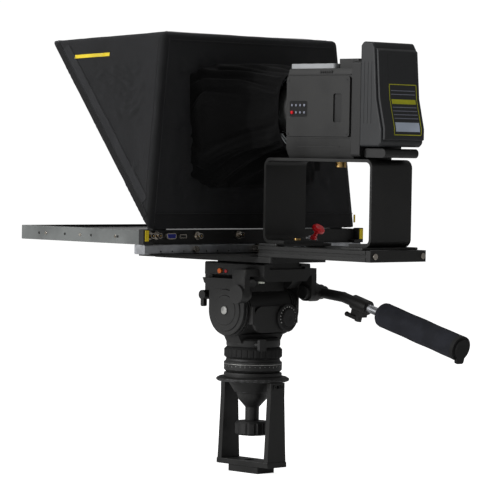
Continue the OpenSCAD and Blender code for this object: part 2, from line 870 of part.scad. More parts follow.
module grip_dial() {
    color("Black") rod_x(-84, -54, 150, 632, 5);
    color("Black") rod_x(-84, -66, 150, 632, 13);
}

module camera_sockets() {
    color("Goldenrod") {
        for (z = [616, 642, 666]) union() {
            rod_x(-78, -64, 256, z, 5);
            rod_x(-69, -64, 256, z, 7.5);
        }
        rod_x(-74, -64, 236, 590, 8);
    }
}

module lens() {
    color("Black") difference() {
        union() {
            rod_y(20, 131, 0, lens_z, 35.8);
            rod_y(20, 60, 0, lens_z, lens_r);
            rod_y(70, 92, 0, lens_z, 38);
        }
        rod_y(19, 30, 0, lens_z, 32);
    }
}

module battery_plate() {
    color("Black") difference() {
        union() {
            span_y([-50, cam_y1, 545], [50, bat_y0 - move_gap, 702], 5);
            span_x([-40, bat_y0 - 1, 544], [40, 340, 559], 7);
        }
        span_x([-51, 278.7, 639.7], [-46, 288.3, 662.3], 3.3);
    }
}

module battery_case() {
    color("DimGray") translate([bat_x - battery_w / 2, 0, 0]) rotate([90, 0, 90])
        linear_extrude(battery_w) polygon([
            [bat_y0, 562], [336, 562], [342, 568], [342, 590], [330, 640], [324, 722],
            [318, 732], [bat_y0 + 6, 733], [bat_y0, 727]]);
}

module battery_cover() {
    color("DimGray") translate([bat_x - battery_w / 2 + 3, 0, 0]) rotate([90, 0, 90])
        linear_extrude(battery_w - 6) polygon([
            [342, 572], [347, 574], [347, 592], [335, 641], [329, 718], [324, 722],
            [330, 640], [342, 590]]);
}

module battery_release() {
    color("Gray") span_x([-55, 279, 640], [-48, 288, 662], 3);
}

// ---- output ----

stand_bowl();
stand_legs();
stand_foot();
half_ball();
pan_base();
tie_down_knob();
pan_drag_ring();
pan_yoke();
cheek_covers();
pan_lock_lever();
counterbalance_dial();
tilt_body();
tilt_platform();
bubble_level();
tilt_lock_lever();
release_button();
safety_button();
pan_bar();
rosette_knob();
clamp_lever();
bar_tube();
foam_grip();
grip_cap();
slide_plate();
base_plate();
cross_bar();
neck_plate();
rails();
rail_end_bar();
frame_screws();
knob_bracket();
red_knob();
centre_knob();
monitor_case();
monitor_cover();
screen_panel();
screen_glass();
monitor_sockets();
corner_blocks();
glass_frame();
beam_glass();
hood_cover();
hood_trim();
lens_sleeve();
rail_shoes();
riser_bridge();
riser_screws();
camera_body();
side_panel();
camera_keypad();
record_key();
camera_top();
camera_grip();
grip_dial();
camera_sockets();
lens();
battery_plate();
battery_case();
battery_cover();
battery_release();
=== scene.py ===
"""Visual build of a hooded teleprompter on a fluid head, with its camera and short bowl stand.

Metres, Z up, the talent side faces -Y and the operator stands on +Y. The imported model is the
frame: every piece made here rides on one of its bodies.
"""
from __future__ import annotations

import json
import logging
import math
from dataclasses import dataclass
from enum import Enum
from typing import Callable, Iterable, Sequence
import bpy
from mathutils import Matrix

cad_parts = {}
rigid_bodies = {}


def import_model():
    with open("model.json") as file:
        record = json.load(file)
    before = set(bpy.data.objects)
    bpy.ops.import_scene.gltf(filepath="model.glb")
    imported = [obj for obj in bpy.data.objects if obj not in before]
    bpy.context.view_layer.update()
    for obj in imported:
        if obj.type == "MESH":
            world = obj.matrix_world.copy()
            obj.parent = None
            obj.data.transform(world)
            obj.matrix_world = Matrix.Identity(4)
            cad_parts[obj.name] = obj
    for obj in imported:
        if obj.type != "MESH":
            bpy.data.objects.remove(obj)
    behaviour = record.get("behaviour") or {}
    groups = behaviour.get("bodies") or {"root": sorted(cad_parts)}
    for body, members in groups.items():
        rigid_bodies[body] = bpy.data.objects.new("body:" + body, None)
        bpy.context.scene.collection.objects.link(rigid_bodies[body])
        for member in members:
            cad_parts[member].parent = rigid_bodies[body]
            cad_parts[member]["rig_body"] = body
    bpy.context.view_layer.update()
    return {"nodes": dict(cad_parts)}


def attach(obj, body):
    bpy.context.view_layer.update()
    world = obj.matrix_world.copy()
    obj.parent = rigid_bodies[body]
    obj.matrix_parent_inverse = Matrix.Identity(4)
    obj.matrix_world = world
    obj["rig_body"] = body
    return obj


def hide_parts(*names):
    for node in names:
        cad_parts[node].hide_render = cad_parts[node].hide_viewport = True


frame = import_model()

import bmesh
import bpy
from mathutils import Matrix, Vector, noise

LOG = logging.getLogger("prompter")
MM = 0.001
Point = Sequence[float]
Test = Callable[[Vector], bool]


# ---------------------------------------------------------------- bench: modelling


class Axis(Enum):
    """The three row axes, as unit vectors."""

    X = (1.0, 0.0, 0.0)
    Y = (0.0, 1.0, 0.0)
    Z = (0.0, 0.0, 1.0)


def take(*objects: bpy.types.Object) -> bpy.types.Object:
    """Select only these objects and make the first one active.

    Args:
        objects: the objects to select.

    Returns:
        The first object.
    """
    bpy.ops.object.select_all(action="DESELECT")
    for item in objects:
        item.select_set(True)
    bpy.context.view_layer.objects.active = objects[0]
    return objects[0]


def settle() -> None:
    """Put the active object's place, turn and scale into its mesh."""
    bpy.ops.object.transform_apply(location=True, rotation=True, scale=True)


def block(name: str, low: Point, high: Point) -> bpy.types.Object:
    """Add a box between two corners given in millimetres.

    Args:
        name: the object's name.
        low: lowest corner.
        high: highest corner.

    Returns:
        The new object, at the origin.
    """
    bpy.ops.object.select_all(action="DESELECT")
    middle = [(a + b) / 2 * MM for a, b in zip(low, high)]
    sides = [(b - a) * MM for a, b in zip(low, high)]
    bpy.ops.mesh.primitive_cube_add(size=1, location=middle)
    made = bpy.context.object
    made.name = name
    made.scale = sides
    settle()
    return made


def rod(name: str, start: Point, end: Point, radius: float, sides: int = 40,
        end_radius: float | None = None) -> bpy.types.Object:
    """Add a round bar or cone between two points given in millimetres.

    Args:
        name: the object's name.
        start: centre of the first end.
        end: centre of the other end.
        radius: radius at the first end.
        sides: number of faces round it.
        end_radius: radius at the other end, the same if left out.

    Returns:
        The new object, at the origin.
    """
    bpy.ops.object.select_all(action="DESELECT")
    a, b = Vector(start) * MM, Vector(end) * MM
    turn = (b - a).to_track_quat("Z", "Y").to_euler()
    top = radius if end_radius is None else end_radius
    bpy.ops.mesh.primitive_cone_add(vertices=sides, radius1=radius * MM, radius2=top * MM,
                                    depth=(b - a).length, location=(a + b) / 2, rotation=turn)
    made = bpy.context.object
    made.name = name
    settle()
    return made


def ball(name: str, centre: Point, radius: float, sides: int = 24) -> bpy.types.Object:
    """Add a sphere, sizes in millimetres.

    Args:
        name: the object's name.
        centre: its centre.
        radius: its radius.
        sides: segments round it.

    Returns:
        The new object, at the origin.
    """
    bpy.ops.object.select_all(action="DESELECT")
    bpy.ops.mesh.primitive_uv_sphere_add(segments=sides, ring_count=sides // 2,
                                         radius=radius * MM, location=Vector(centre) * MM)
    made = bpy.context.object
    made.name = name
    settle()
    return made


def outline(name: str, points: Iterable[Point], filled: bool = True) -> bpy.types.Object:
    """Add a flat outline through points given in millimetres.

    Args:
        name: the object's name.
        points: the corners in order.
        filled: whether it gets a face.

    Returns:
        The new object, at the origin.
    """
    corners = [Vector(p) * MM for p in points]
    bpy.ops.object.select_all(action="DESELECT")
    bpy.ops.mesh.primitive_circle_add(vertices=len(corners), radius=0.01,
                                      fill_type="NGON" if filled else "NOTHING")
    made = bpy.context.object
    made.name = name
    for vertex, corner in zip(made.data.vertices, corners):
        vertex.co = corner
    return made


def edit(obj: bpy.types.Object, mode: str = "FACE") -> bmesh.types.BMesh:
    """Open an object in edit mode with nothing selected.

    Args:
        obj: the object.
        mode: VERT, EDGE or FACE.

    Returns:
        The edit mesh.
    """
    take(obj)
    bpy.ops.object.mode_set(mode="EDIT")
    bpy.ops.mesh.select_mode(type=mode)
    bpy.ops.mesh.select_all(action="DESELECT")
    return bmesh.from_edit_mesh(obj.data)


def leave() -> None:
    """Go back to object mode."""
    bpy.ops.object.mode_set(mode="OBJECT")


def pick_faces(obj: bpy.types.Object, mesh: bmesh.types.BMesh, middle: Test | None = None,
               normal: Test | None = None) -> int:
    """Select faces by their middle and their normal.

    Args:
        obj: the object in edit mode.
        mesh: its edit mesh.
        middle: test on the face's middle, in metres.
        normal: test on the face's normal.

    Returns:
        How many faces are selected.
    """
    count = 0
    for face in mesh.faces:
        good = (middle is None or middle(face.calc_center_median())) and \
            (normal is None or normal(face.normal))
        face.select_set(good)
        count += good
    mesh.select_flush_mode()
    bmesh.update_edit_mesh(obj.data)
    return count


def swept(name: str, points: Iterable[Point], travel: Point) -> bpy.types.Object:
    """Extrude a filled outline, sizes in millimetres.

    Args:
        name: the object's name.
        points: the outline's corners.
        travel: how far and where it is extruded.

    Returns:
        A closed solid.
    """
    made = outline(name, points)
    edit(made)
    bpy.ops.mesh.select_all(action="SELECT")
    bpy.ops.mesh.extrude_region_move(TRANSFORM_OT_translate={"value": Vector(travel) * MM})
    bpy.ops.mesh.select_all(action="SELECT")
    bpy.ops.mesh.normals_make_consistent(inside=False)
    leave()
    return made


def spun(name: str, profile: Sequence[tuple[float, float]], centre: Point, axis: Point,
         steps: int = 64, closed: bool = False) -> bpy.types.Object:
    """Spin a side profile round an axis, sizes in millimetres.

    Args:
        name: the object's name.
        profile: (radius, height) pairs in order.
        centre: where the axis starts.
        axis: its direction.
        steps: faces round the turn.
        closed: whether the profile is a loop, as for a ring.

    Returns:
        A closed solid of revolution.
    """
    made = outline(name, [(r, 0, h) for r, h in profile], filled=False)
    mesh = edit(made, "EDGE")
    if not closed:
        mesh.verts.ensure_lookup_table()
        last = mesh.edges.get((mesh.verts[0], mesh.verts[len(profile) - 1]))
        last.select_set(True)
        bmesh.update_edit_mesh(made.data)
        bpy.ops.mesh.delete(type="EDGE")
    bpy.ops.mesh.select_all(action="SELECT")
    bpy.ops.mesh.spin(steps=steps, angle=math.tau, center=(0, 0, 0), axis=(0, 0, 1))
    bpy.ops.mesh.select_all(action="SELECT")
    bpy.ops.mesh.remove_doubles(threshold=2e-6)
    bpy.ops.mesh.normals_make_consistent(inside=False)
    leave()
    turn = Vector(axis).to_track_quat("Z", "Y").to_matrix().to_4x4()
    made.data.transform(Matrix.Translation(Vector(centre) * MM) @ turn)
    return made


def modify(obj: bpy.types.Object, kind: str, **settings: object) -> bpy.types.Object:
    """Add a modifier and apply it.

    Args:
        obj: the object.
        kind: the modifier's type.
        settings: its values.

    Returns:
        The object.
    """
    take(obj)
    modifier = obj.modifiers.new(kind.lower(), kind)
    for key, value in settings.items():
        setattr(modifier, key, value)
    bpy.ops.object.modifier_apply(modifier=modifier.name)
    return obj


def mark_rub(obj: bpy.types.Object) -> None:
    """Write the attribute rub: 1 on the crest of each outward bevel, 0 elsewhere.

    Args:
        obj: an object whose bevel has just been applied with face strengths.
    """
    mesh = obj.data
    strength = mesh.attributes.get("__mod_weightednormals_faceweight")
    old = mesh.attributes.get("rub")
    if old is not None:
        mesh.attributes.remove(old)
    values = [0.0] * len(mesh.vertices)
    if strength is not None:
        whole = [item.value >= 16384 for item in strength.data]
        touch: list[list[int]] = [[] for _ in mesh.vertices]
        for face in mesh.polygons:
            for corner in face.vertices:
                touch[corner].append(face.index)
        for i, faces in enumerate(touch):
            if faces and not any(whole[f] for f in faces):
                vertex = mesh.vertices[i]
                lean = sum((mesh.polygons[f].center - vertex.co).dot(vertex.normal)
                           for f in faces)
                values[i] = 1.0 if lean < 0 else 0.0
        mesh.attributes.remove(mesh.attributes["__mod_weightednormals_faceweight"])
    mesh.attributes.new("rub", "FLOAT", "POINT").data.foreach_set("value", values)


def soften(obj: bpy.types.Object, width: float, segments: int = 2, smooth: float = 35
           ) -> bpy.types.Object:
    """Round the sharp edges and smooth the rest.

    Args:
        obj: the object.
        width: bevel width in millimetres.
        segments: faces across the bevel.
        smooth: angle in degrees under which faces shade smooth.

    Returns:
        The object.
    """
    if width > 0:
        modify(obj, "BEVEL", width=width * MM, segments=segments, limit_method="ANGLE",
               angle_limit=math.radians(32), use_clamp_overlap=True, miter_outer="MITER_ARC",
               face_strength_mode="FSTR_ALL")
        mark_rub(obj)
    take(obj)
    bpy.ops.object.shade_smooth_by_angle(angle=math.radians(smooth))
    if width > 0:
        modify(obj, "WEIGHTED_NORMAL", mode="FACE_AREA", weight=100, keep_sharp=True)
    return obj


def twin(obj: bpy.types.Object, name: str, place: Matrix) -> bpy.types.Object:
    """Copy an object with a mesh of its own.

    Args:
        obj: the object to copy.
        name: the copy's name.
        place: where the copy goes.

    Returns:
        The copy, at the origin.
    """
    copy = obj.copy()
    copy.data = obj.data.copy()
    copy.name = name
    bpy.context.scene.collection.objects.link(copy)
    copy.data.transform(place)
    if place.determinant() < 0:
        copy.data.flip_normals()
    return copy


def mirrored(obj: bpy.types.Object, name: str) -> bpy.types.Object:
    """Copy an object to the other side of X = 0."""
    return twin(obj, name, Matrix.Diagonal((-1, 1, 1, 1)))


def joined(name: str, parts: Sequence[bpy.types.Object]) -> bpy.types.Object:
    """Join several objects into one.

    Args:
        name: the joined object's name.
        parts: the objects.

    Returns:
        The joined object.
    """
    take(*parts)
    if len(parts) > 1:
        bpy.ops.object.join()
    made = bpy.context.view_layer.objects.active
    made.name = name
    made.data.name = name
    return made


def round_turns(step: float, count: int) -> list[float]:
    """Angles in radians, a fixed step apart in degrees."""
    return [math.radians(step * i) for i in range(count)]


# ---------------------------------------------------------------- finishes


class Sheet:
    """A small helper that writes nodes into one shader tree."""

    def __init__(self, tree: bpy.types.NodeTree) -> None:
        """Keep the tree to write into."""
        self.tree = tree

    def add(self, kind: str, **values: object) -> bpy.types.Node:
        """Add a node; values are attributes, or inputs when the name starts with in_.

        Args:
            kind: the node's type.
            values: attributes, and in_NAME inputs with spaces as underscores.

        Returns:
            The node.
        """
        node = self.tree.nodes.new(kind)
        for key, value in values.items():
            if key.startswith("in_"):
                self.feed(node, key[3:].replace("_", " "), value)
            else:
                setattr(node, key, value)
        return node

    def feed(self, node: bpy.types.Node, name: str, value: object) -> None:
        """Set or link one input.

        Args:
            node: the node.
            name: the input's name, or its number as text.
            value: a socket to link, or a constant.
        """
        socket = node.inputs[int(name)] if name.isdigit() else node.inputs[name]
        if isinstance(value, bpy.types.NodeSocket):
            self.tree.links.new(value, socket)
        else:
            socket.default_value = value

    def math(self, operation: str, a: object, b: object = 0.0, clamp: bool = False
             ) -> bpy.types.NodeSocket:
        """Add a Math node and return its output."""
        node = self.add("ShaderNodeMath", operation=operation, use_clamp=clamp)
        self.feed(node, "0", a)
        self.feed(node, "1", b)
        return node.outputs[0]

    def ramp(self, value: object, low: float, high: float) -> bpy.types.NodeSocket:
        """Map a value from low..high to 0..1, smoothly clamped."""
        node = self.add("ShaderNodeMapRange", interpolation_type="SMOOTHSTEP")
        self.feed(node, "Value", value)
        self.feed(node, "From Min", low)
        self.feed(node, "From Max", high)
        return node.outputs["Result"]

    def blend(self, mask: object, a: object, b: object) -> bpy.types.NodeSocket:
        """Mix two colours by a mask and return the colour."""
        node = self.add("ShaderNodeMix", data_type="RGBA")
        self.feed(node, "0", mask)
        self.feed(node, "6", a)
        self.feed(node, "7", b)
        return node.outputs[2]


def new_group(name: str, inputs: dict[str, float], outputs: dict[str, str]
              ) -> tuple[bpy.types.NodeTree, Sheet, bpy.types.Node, bpy.types.Node]:
    """Start a shader node group.

    Args:
        name: the group's name.
        inputs: float inputs with their defaults.
        outputs: output names with their socket types.

    Returns:
        The group, a writer for it, and its input and output nodes.
    """
    tree = bpy.data.node_groups.new(name, "ShaderNodeTree")
    for label, value in inputs.items():
        socket = tree.interface.new_socket(label, in_out="INPUT", socket_type="NodeSocketFloat")
        socket.default_value = value
    for label, kind in outputs.items():
        tree.interface.new_socket(label, in_out="OUTPUT", socket_type=kind)
    sheet = Sheet(tree)
    return tree, sheet, sheet.add("NodeGroupInput"), sheet.add("NodeGroupOutput")


class Effects:
    """The shader node groups that several finishes share, each built once."""

    def __init__(self) -> None:
        """Build every group."""
        self.grain = self._grain()
        self.wear = self._wear()
        self.dust = self._dust()
        self.weave = self._weave()
        self.brushed = self._brushed()

    @staticmethod
    def _grain() -> bpy.types.NodeTree:
        """Fine moulded or sprayed grain with slow blotches."""
        tree, s, come, go = new_group(
            "sprayed_grain", {"Grains per Metre": 900.0, "Blotches per Metre": 14.0},
            {"Height": "NodeSocketFloat", "Blotch": "NodeSocketFloat"})
        where = s.add("ShaderNodeTexCoord").outputs["Object"]
        fine = s.add("ShaderNodeTexNoise", in_Vector=where, in_Detail=3.0, in_Roughness=0.6,
                     in_Scale=come.outputs["Grains per Metre"])
        cells = s.add("ShaderNodeTexVoronoi", feature="SMOOTH_F1", in_Vector=where,
                      in_Scale=come.outputs["Grains per Metre"])
        slow = s.add("ShaderNodeTexNoise", in_Vector=where, in_Detail=4.0,
                     in_Scale=come.outputs["Blotches per Metre"])
        height = s.math("ADD", s.math("MULTIPLY", fine.outputs["Fac"], 0.6),
                        s.math("MULTIPLY", cells.outputs["Distance"], 0.4))
        s.feed(go, "Height", height)
        s.feed(go, "Blotch", s.ramp(slow.outputs["Fac"], 0.35, 0.65))
        return tree

    @staticmethod
    def _wear() -> bpy.types.NodeTree:
        """Rubbed paint on outside edges, broken up by noise."""
        tree, s, come, go = new_group(
            "edge_wear", {"Start": 0.35, "Breakup per Metre": 160.0},
            {"Mask": "NodeSocketFloat"})
        where = s.add("ShaderNodeTexCoord").outputs["Object"]
        edge = s.add("ShaderNodeAttribute", attribute_name="rub").outputs["Fac"]
        patch = s.add("ShaderNodeTexNoise", in_Vector=where, in_Detail=5.0,
                      in_Scale=come.outputs["Breakup per Metre"]).outputs["Fac"]
        over = s.math("SUBTRACT", edge, come.outputs["Start"])
        mask = s.math("MULTIPLY", s.math("MULTIPLY", over, 1.6, clamp=True),
                      s.ramp(patch, 0.42, 0.68))
        s.feed(go, "Mask", mask)
        return tree

    @staticmethod
    def _dust() -> bpy.types.NodeTree:
        """Dust that settles on what faces up."""
        tree, s, come, go = new_group("settled_dust", {"Patches per Metre": 30.0},
                                      {"Mask": "NodeSocketFloat"})
        where = s.add("ShaderNodeTexCoord").outputs["Object"]
        normal = s.add("ShaderNodeNewGeometry").outputs["Normal"]
        up = s.add("ShaderNodeSeparateXYZ", in_Vector=normal).outputs["Z"]
        patch = s.add("ShaderNodeTexNoise", in_Vector=where, in_Detail=6.0,
                      in_Scale=come.outputs["Patches per Metre"]).outputs["Fac"]
        s.feed(go, "Mask", s.math("MULTIPLY", s.ramp(up, 0.4, 1.0), s.ramp(patch, 0.4, 0.8)))
        return tree

    @staticmethod
    def _weave() -> bpy.types.NodeTree:
        """Plain woven threads that follow the cloth's own UV map, laid out in metres."""
        tree, s, come, go = new_group(
            "plain_weave", {"Threads per Metre": 1400.0},
            {"Height": "NodeSocketFloat", "Gap": "NodeSocketFloat", "Slub": "NodeSocketFloat"})
        cloth = s.add("ShaderNodeUVMap", uv_map="cloth").outputs["UV"]
        scaled = s.add("ShaderNodeVectorMath", operation="SCALE", in_0=cloth)
        s.feed(scaled, "Scale", come.outputs["Threads per Metre"])
        split = s.add("ShaderNodeSeparateXYZ", in_Vector=scaled.outputs[0])
        across = s.math("ABSOLUTE", s.math("SINE", s.math("MULTIPLY", split.outputs["X"], math.pi)))
        along = s.math("ABSOLUTE", s.math("SINE", s.math("MULTIPLY", split.outputs["Y"], math.pi)))
        checks = s.add("ShaderNodeTexChecker", in_Vector=scaled.outputs[0], in_Scale=1.0)
        over = checks.outputs["Fac"]
        height = s.add("ShaderNodeMix", data_type="FLOAT")
        s.feed(height, "0", over)
        s.feed(height, "2", across)
        s.feed(height, "3", along)
        slub = s.add("ShaderNodeTexNoise", in_Vector=cloth, in_Scale=260.0, in_Detail=4.0)
        s.feed(go, "Height", height.outputs[0])
        # Gap falls to 0 between the threads, where the cloth finish paints shade.
        s.feed(go, "Gap", s.math("MULTIPLY", across, along))
        s.feed(go, "Slub", slub.outputs["Fac"])
        return tree

    @staticmethod
    def _brushed() -> bpy.types.NodeTree:
        """Fine lines along X, as on a brushed bar."""
        tree, s, come, go = new_group("brushed_lines", {"Lines per Metre": 2200.0},
                                      {"Height": "NodeSocketFloat"})
        where = s.add("ShaderNodeTexCoord").outputs["Object"]
        squeeze = s.add("ShaderNodeVectorMath", operation="MULTIPLY", in_0=where)
        s.feed(squeeze, "1", (0.02, 1.0, 1.0))
        lines = s.add("ShaderNodeTexNoise", in_Vector=squeeze.outputs[0], in_Detail=2.0,
                      in_Scale=come.outputs["Lines per Metre"])
        s.feed(go, "Height", lines.outputs["Fac"])
        return tree


@dataclass(frozen=True)
class Finish:
    """One finish: a name, a colour and how rough it is."""

    name: str
    colour: tuple[float, float, float]
    rough: float = 0.5

    def start(self) -> tuple[bpy.types.Material, Sheet, bpy.types.Node]:
        """Make the material with its shader.

        Returns:
            The material, a writer for its tree, and the Principled node.
        """
        made = bpy.data.materials.new(self.name)
        made.use_nodes = True
        sheet = Sheet(made.node_tree)
        shader = made.node_tree.nodes["Principled BSDF"]
        shader.inputs["Base Color"].default_value = (*self.colour, 1)
        shader.inputs["Roughness"].default_value = self.rough
        made.diffuse_color = (*self.colour, 1)
        return made, sheet, shader

    def group(self, sheet: Sheet, tree: bpy.types.NodeTree, **values: float) -> bpy.types.Node:
        """Place a shared group with its own values.

        Args:
            sheet: the material's writer.
            tree: the group.
            values: in_NAME inputs.

        Returns:
            The group node.
        """
        return sheet.add("ShaderNodeGroup", node_tree=tree, **values)

    def bump(self, sheet: Sheet, shader: bpy.types.Node, height: bpy.types.NodeSocket,
             depth: float, strength: float = 0.6) -> None:
        """Send a height to the shader's normal.

        Args:
            sheet: the material's writer.
            shader: the Principled node.
            height: the height to use.
            depth: how deep it is, in millimetres.
            strength: how strongly it shows.
        """
        node = sheet.add("ShaderNodeBump", in_Height=height, in_Distance=depth * MM,
                         in_Strength=strength)
        sheet.feed(shader, "Normal", node.outputs["Normal"])

    def shades(self, factor: float) -> tuple[float, float, float, float]:
        """The finish's colour made lighter or darker."""
        return (*[min(1.0, c * factor) for c in self.colour], 1.0)

    def build(self, effects: Effects) -> bpy.types.Material:
        """Make the material; the plain finish has only grain."""
        made, sheet, shader = self.start()
        grain = self.group(sheet, effects.grain)
        self.bump(sheet, shader, grain.outputs["Height"], 0.02)
        return made


@dataclass(frozen=True)
class Paint(Finish):
    """Sprayed or powder-coated metal, rubbed at its edges."""

    grains: float = 900.0
    depth: float = 0.08
    bare: tuple[float, float, float] = (0.25, 0.25, 0.26)
    wear: float = 0.55
    gloss: float = 0.35

    def build(self, effects: Effects) -> bpy.types.Material:
        """Make the material.

        Args:
            effects: the shared groups.

        Returns:
            The material.
        """
        made, sheet, shader = self.start()
        shader.inputs["Specular IOR Level"].default_value = self.gloss
        grain = self.group(sheet, effects.grain, in_Grains_per_Metre=self.grains)
        edge = self.group(sheet, effects.wear)
        dust = self.group(sheet, effects.dust)
        paint = sheet.blend(grain.outputs["Blotch"], self.shades(0.82), self.shades(1.18))
        worn = sheet.math("MULTIPLY", edge.outputs["Mask"], self.wear)
        rubbed = sheet.blend(worn, paint, (*self.bare, 1))
        dusty = sheet.math("MULTIPLY", dust.outputs["Mask"], 0.03)
        sheet.feed(shader, "Base Color", sheet.blend(dusty, rubbed, (0.35, 0.34, 0.32, 1)))
        vary = sheet.math("MULTIPLY", grain.outputs["Blotch"], 0.12)
        sheet.feed(shader, "Roughness", sheet.math("ADD", vary, self.rough - 0.06))
        self.bump(sheet, shader, grain.outputs["Height"], self.depth)
        return made


@dataclass(frozen=True)
class Plastic(Finish):
    """Moulded plastic or rubber with a fine texture."""

    grains: float = 1300.0
    depth: float = 0.05
    gloss: float = 0.4
    coat: float = 0.0

    def build(self, effects: Effects) -> bpy.types.Material:
        """Make the material.

        Args:
            effects: the shared groups.

        Returns:
            The material.
        """
        made, sheet, shader = self.start()
        shader.inputs["Specular IOR Level"].default_value = self.gloss
        shader.inputs["Coat Weight"].default_value = self.coat
        shader.inputs["Coat Roughness"].default_value = 0.12
        grain = self.group(sheet, effects.grain, in_Grains_per_Metre=self.grains)
        dust = self.group(sheet, effects.dust)
        edge = self.group(sheet, effects.wear, in_Start=0.5)
        tone = sheet.blend(grain.outputs["Blotch"], self.shades(0.88), self.shades(1.14))
        rubbed = sheet.blend(sheet.math("MULTIPLY", edge.outputs["Mask"], 0.25), tone,
                             self.shades(2.2))
        dusty = sheet.math("MULTIPLY", dust.outputs["Mask"], 0.03)
        sheet.feed(shader, "Base Color", sheet.blend(dusty, rubbed, (0.35, 0.34, 0.32, 1)))
        vary = sheet.math("MULTIPLY", grain.outputs["Blotch"], 0.14)
        sheet.feed(shader, "Roughness", sheet.math("ADD", vary, self.rough - 0.07))
        self.bump(sheet, shader, grain.outputs["Height"], self.depth)
        return made


@dataclass(frozen=True)
class BareMetal(Finish):
    """Plated, turned or brushed metal."""

    brushed: bool = False

    def build(self, effects: Effects) -> bpy.types.Material:
        """Make the material.

        Args:
            effects: the shared groups.

        Returns:
            The material.
        """
        made, sheet, shader = self.start()
        shader.inputs["Metallic"].default_value = 1.0
        grain = self.group(sheet, effects.grain, in_Grains_per_Metre=500.0,
                           in_Blotches_per_Metre=60.0)
        sheet.feed(shader, "Base Color",
                   sheet.blend(grain.outputs["Blotch"], self.shades(0.85), self.shades(1.1)))
        vary = sheet.math("MULTIPLY", grain.outputs["Blotch"], 0.12)
        sheet.feed(shader, "Roughness", sheet.math("ADD", vary, self.rough))
        if self.brushed:
            lines = self.group(sheet, effects.brushed)
            self.bump(sheet, shader, lines.outputs["Height"], 0.03, 0.5)
        else:
            self.bump(sheet, shader, grain.outputs["Height"], 0.01, 0.4)
        return made


@dataclass(frozen=True)
class Cloth(Finish):
    """Woven nylon that follows the piece's own UV map, painted darker between the threads as shade.
    """

    threads: float = 1400.0
    sheen: float = 0.25
    depth: float = 0.25

    def build(self, effects: Effects) -> bpy.types.Material:
        """Make the material.

        Args:
            effects: the shared groups.

        Returns:
            The material.
        """
        made, sheet, shader = self.start()
        shader.inputs["Specular IOR Level"].default_value = 0.18
        shader.inputs["Sheen Weight"].default_value = self.sheen
        shader.inputs["Sheen Roughness"].default_value = 0.45
        shader.inputs["Sheen Tint"].default_value = (0.5, 0.5, 0.54, 1)
        weave = self.group(sheet, effects.weave, in_Threads_per_Metre=self.threads)
        grain = self.group(sheet, effects.grain, in_Blotches_per_Metre=7.0)
        thread = sheet.blend(weave.outputs["Slub"], self.shades(0.75), self.shades(1.3))
        # Painted shade: the colour darkens in the gaps between threads.
        deep = sheet.blend(weave.outputs["Gap"], self.shades(0.55), thread)
        faded = sheet.math("MULTIPLY", grain.outputs["Blotch"], 0.3)
        sheet.feed(shader, "Base Color", sheet.blend(faded, deep, self.shades(1.5)))
        vary = sheet.math("MULTIPLY", weave.outputs["Slub"], 0.2)
        sheet.feed(shader, "Roughness", sheet.math("ADD", vary, self.rough - 0.1))
        self.bump(sheet, shader, weave.outputs["Height"], self.depth, 0.7)
        return made


@dataclass(frozen=True)
class Foam(Finish):
    """Closed-cell foam with open pores on its skin, painted darker inside the pores as shade."""

    pores: float = 520.0

    def build(self, effects: Effects) -> bpy.types.Material:
        """Make the material.

        Args:
            effects: the shared groups.

        Returns:
            The material.
        """
        made, sheet, shader = self.start()
        shader.inputs["Specular IOR Level"].default_value = 0.25
        where = sheet.add("ShaderNodeTexCoord").outputs["Object"]
        pores = sheet.add("ShaderNodeTexVoronoi", in_Vector=where, in_Scale=self.pores)
        pit = sheet.ramp(pores.outputs["Distance"], 0.05, 0.4)
        grain = self.group(sheet, effects.grain, in_Blotches_per_Metre=40.0)
        tone = sheet.blend(grain.outputs["Blotch"], self.shades(0.85), self.shades(1.25))
        # Painted shade: the colour darkens towards the middle of each pore.
        sheet.feed(shader, "Base Color", sheet.blend(pit, self.shades(0.4), tone))
        vary = sheet.math("MULTIPLY", pit, 0.15)
        sheet.feed(shader, "Roughness", sheet.math("ADD", vary, self.rough))
        self.bump(sheet, shader, pit, 0.25, 0.8)
        return made


@dataclass(frozen=True)
class Glass(Finish):
    """Clear or part-mirrored glass with faint smears."""

    through: float = 1.0
    mirror: float = 0.0

    def build(self, effects: Effects) -> bpy.types.Material:
        """Make the material.

        Args:
            effects: the shared groups.

        Returns:
            The material.
        """
        made, sheet, shader = self.start()
        shader.inputs["Transmission Weight"].default_value = self.through
        shader.inputs["IOR"].default_value = 1.5
        shader.inputs["Specular IOR Level"].default_value = 0.5 + self.mirror
        smear = self.group(sheet, effects.grain, in_Blotches_per_Metre=9.0)
        vary = sheet.math("MULTIPLY", smear.outputs["Blotch"], 0.04)
        sheet.feed(shader, "Roughness", sheet.math("ADD", vary, self.rough))
        return made


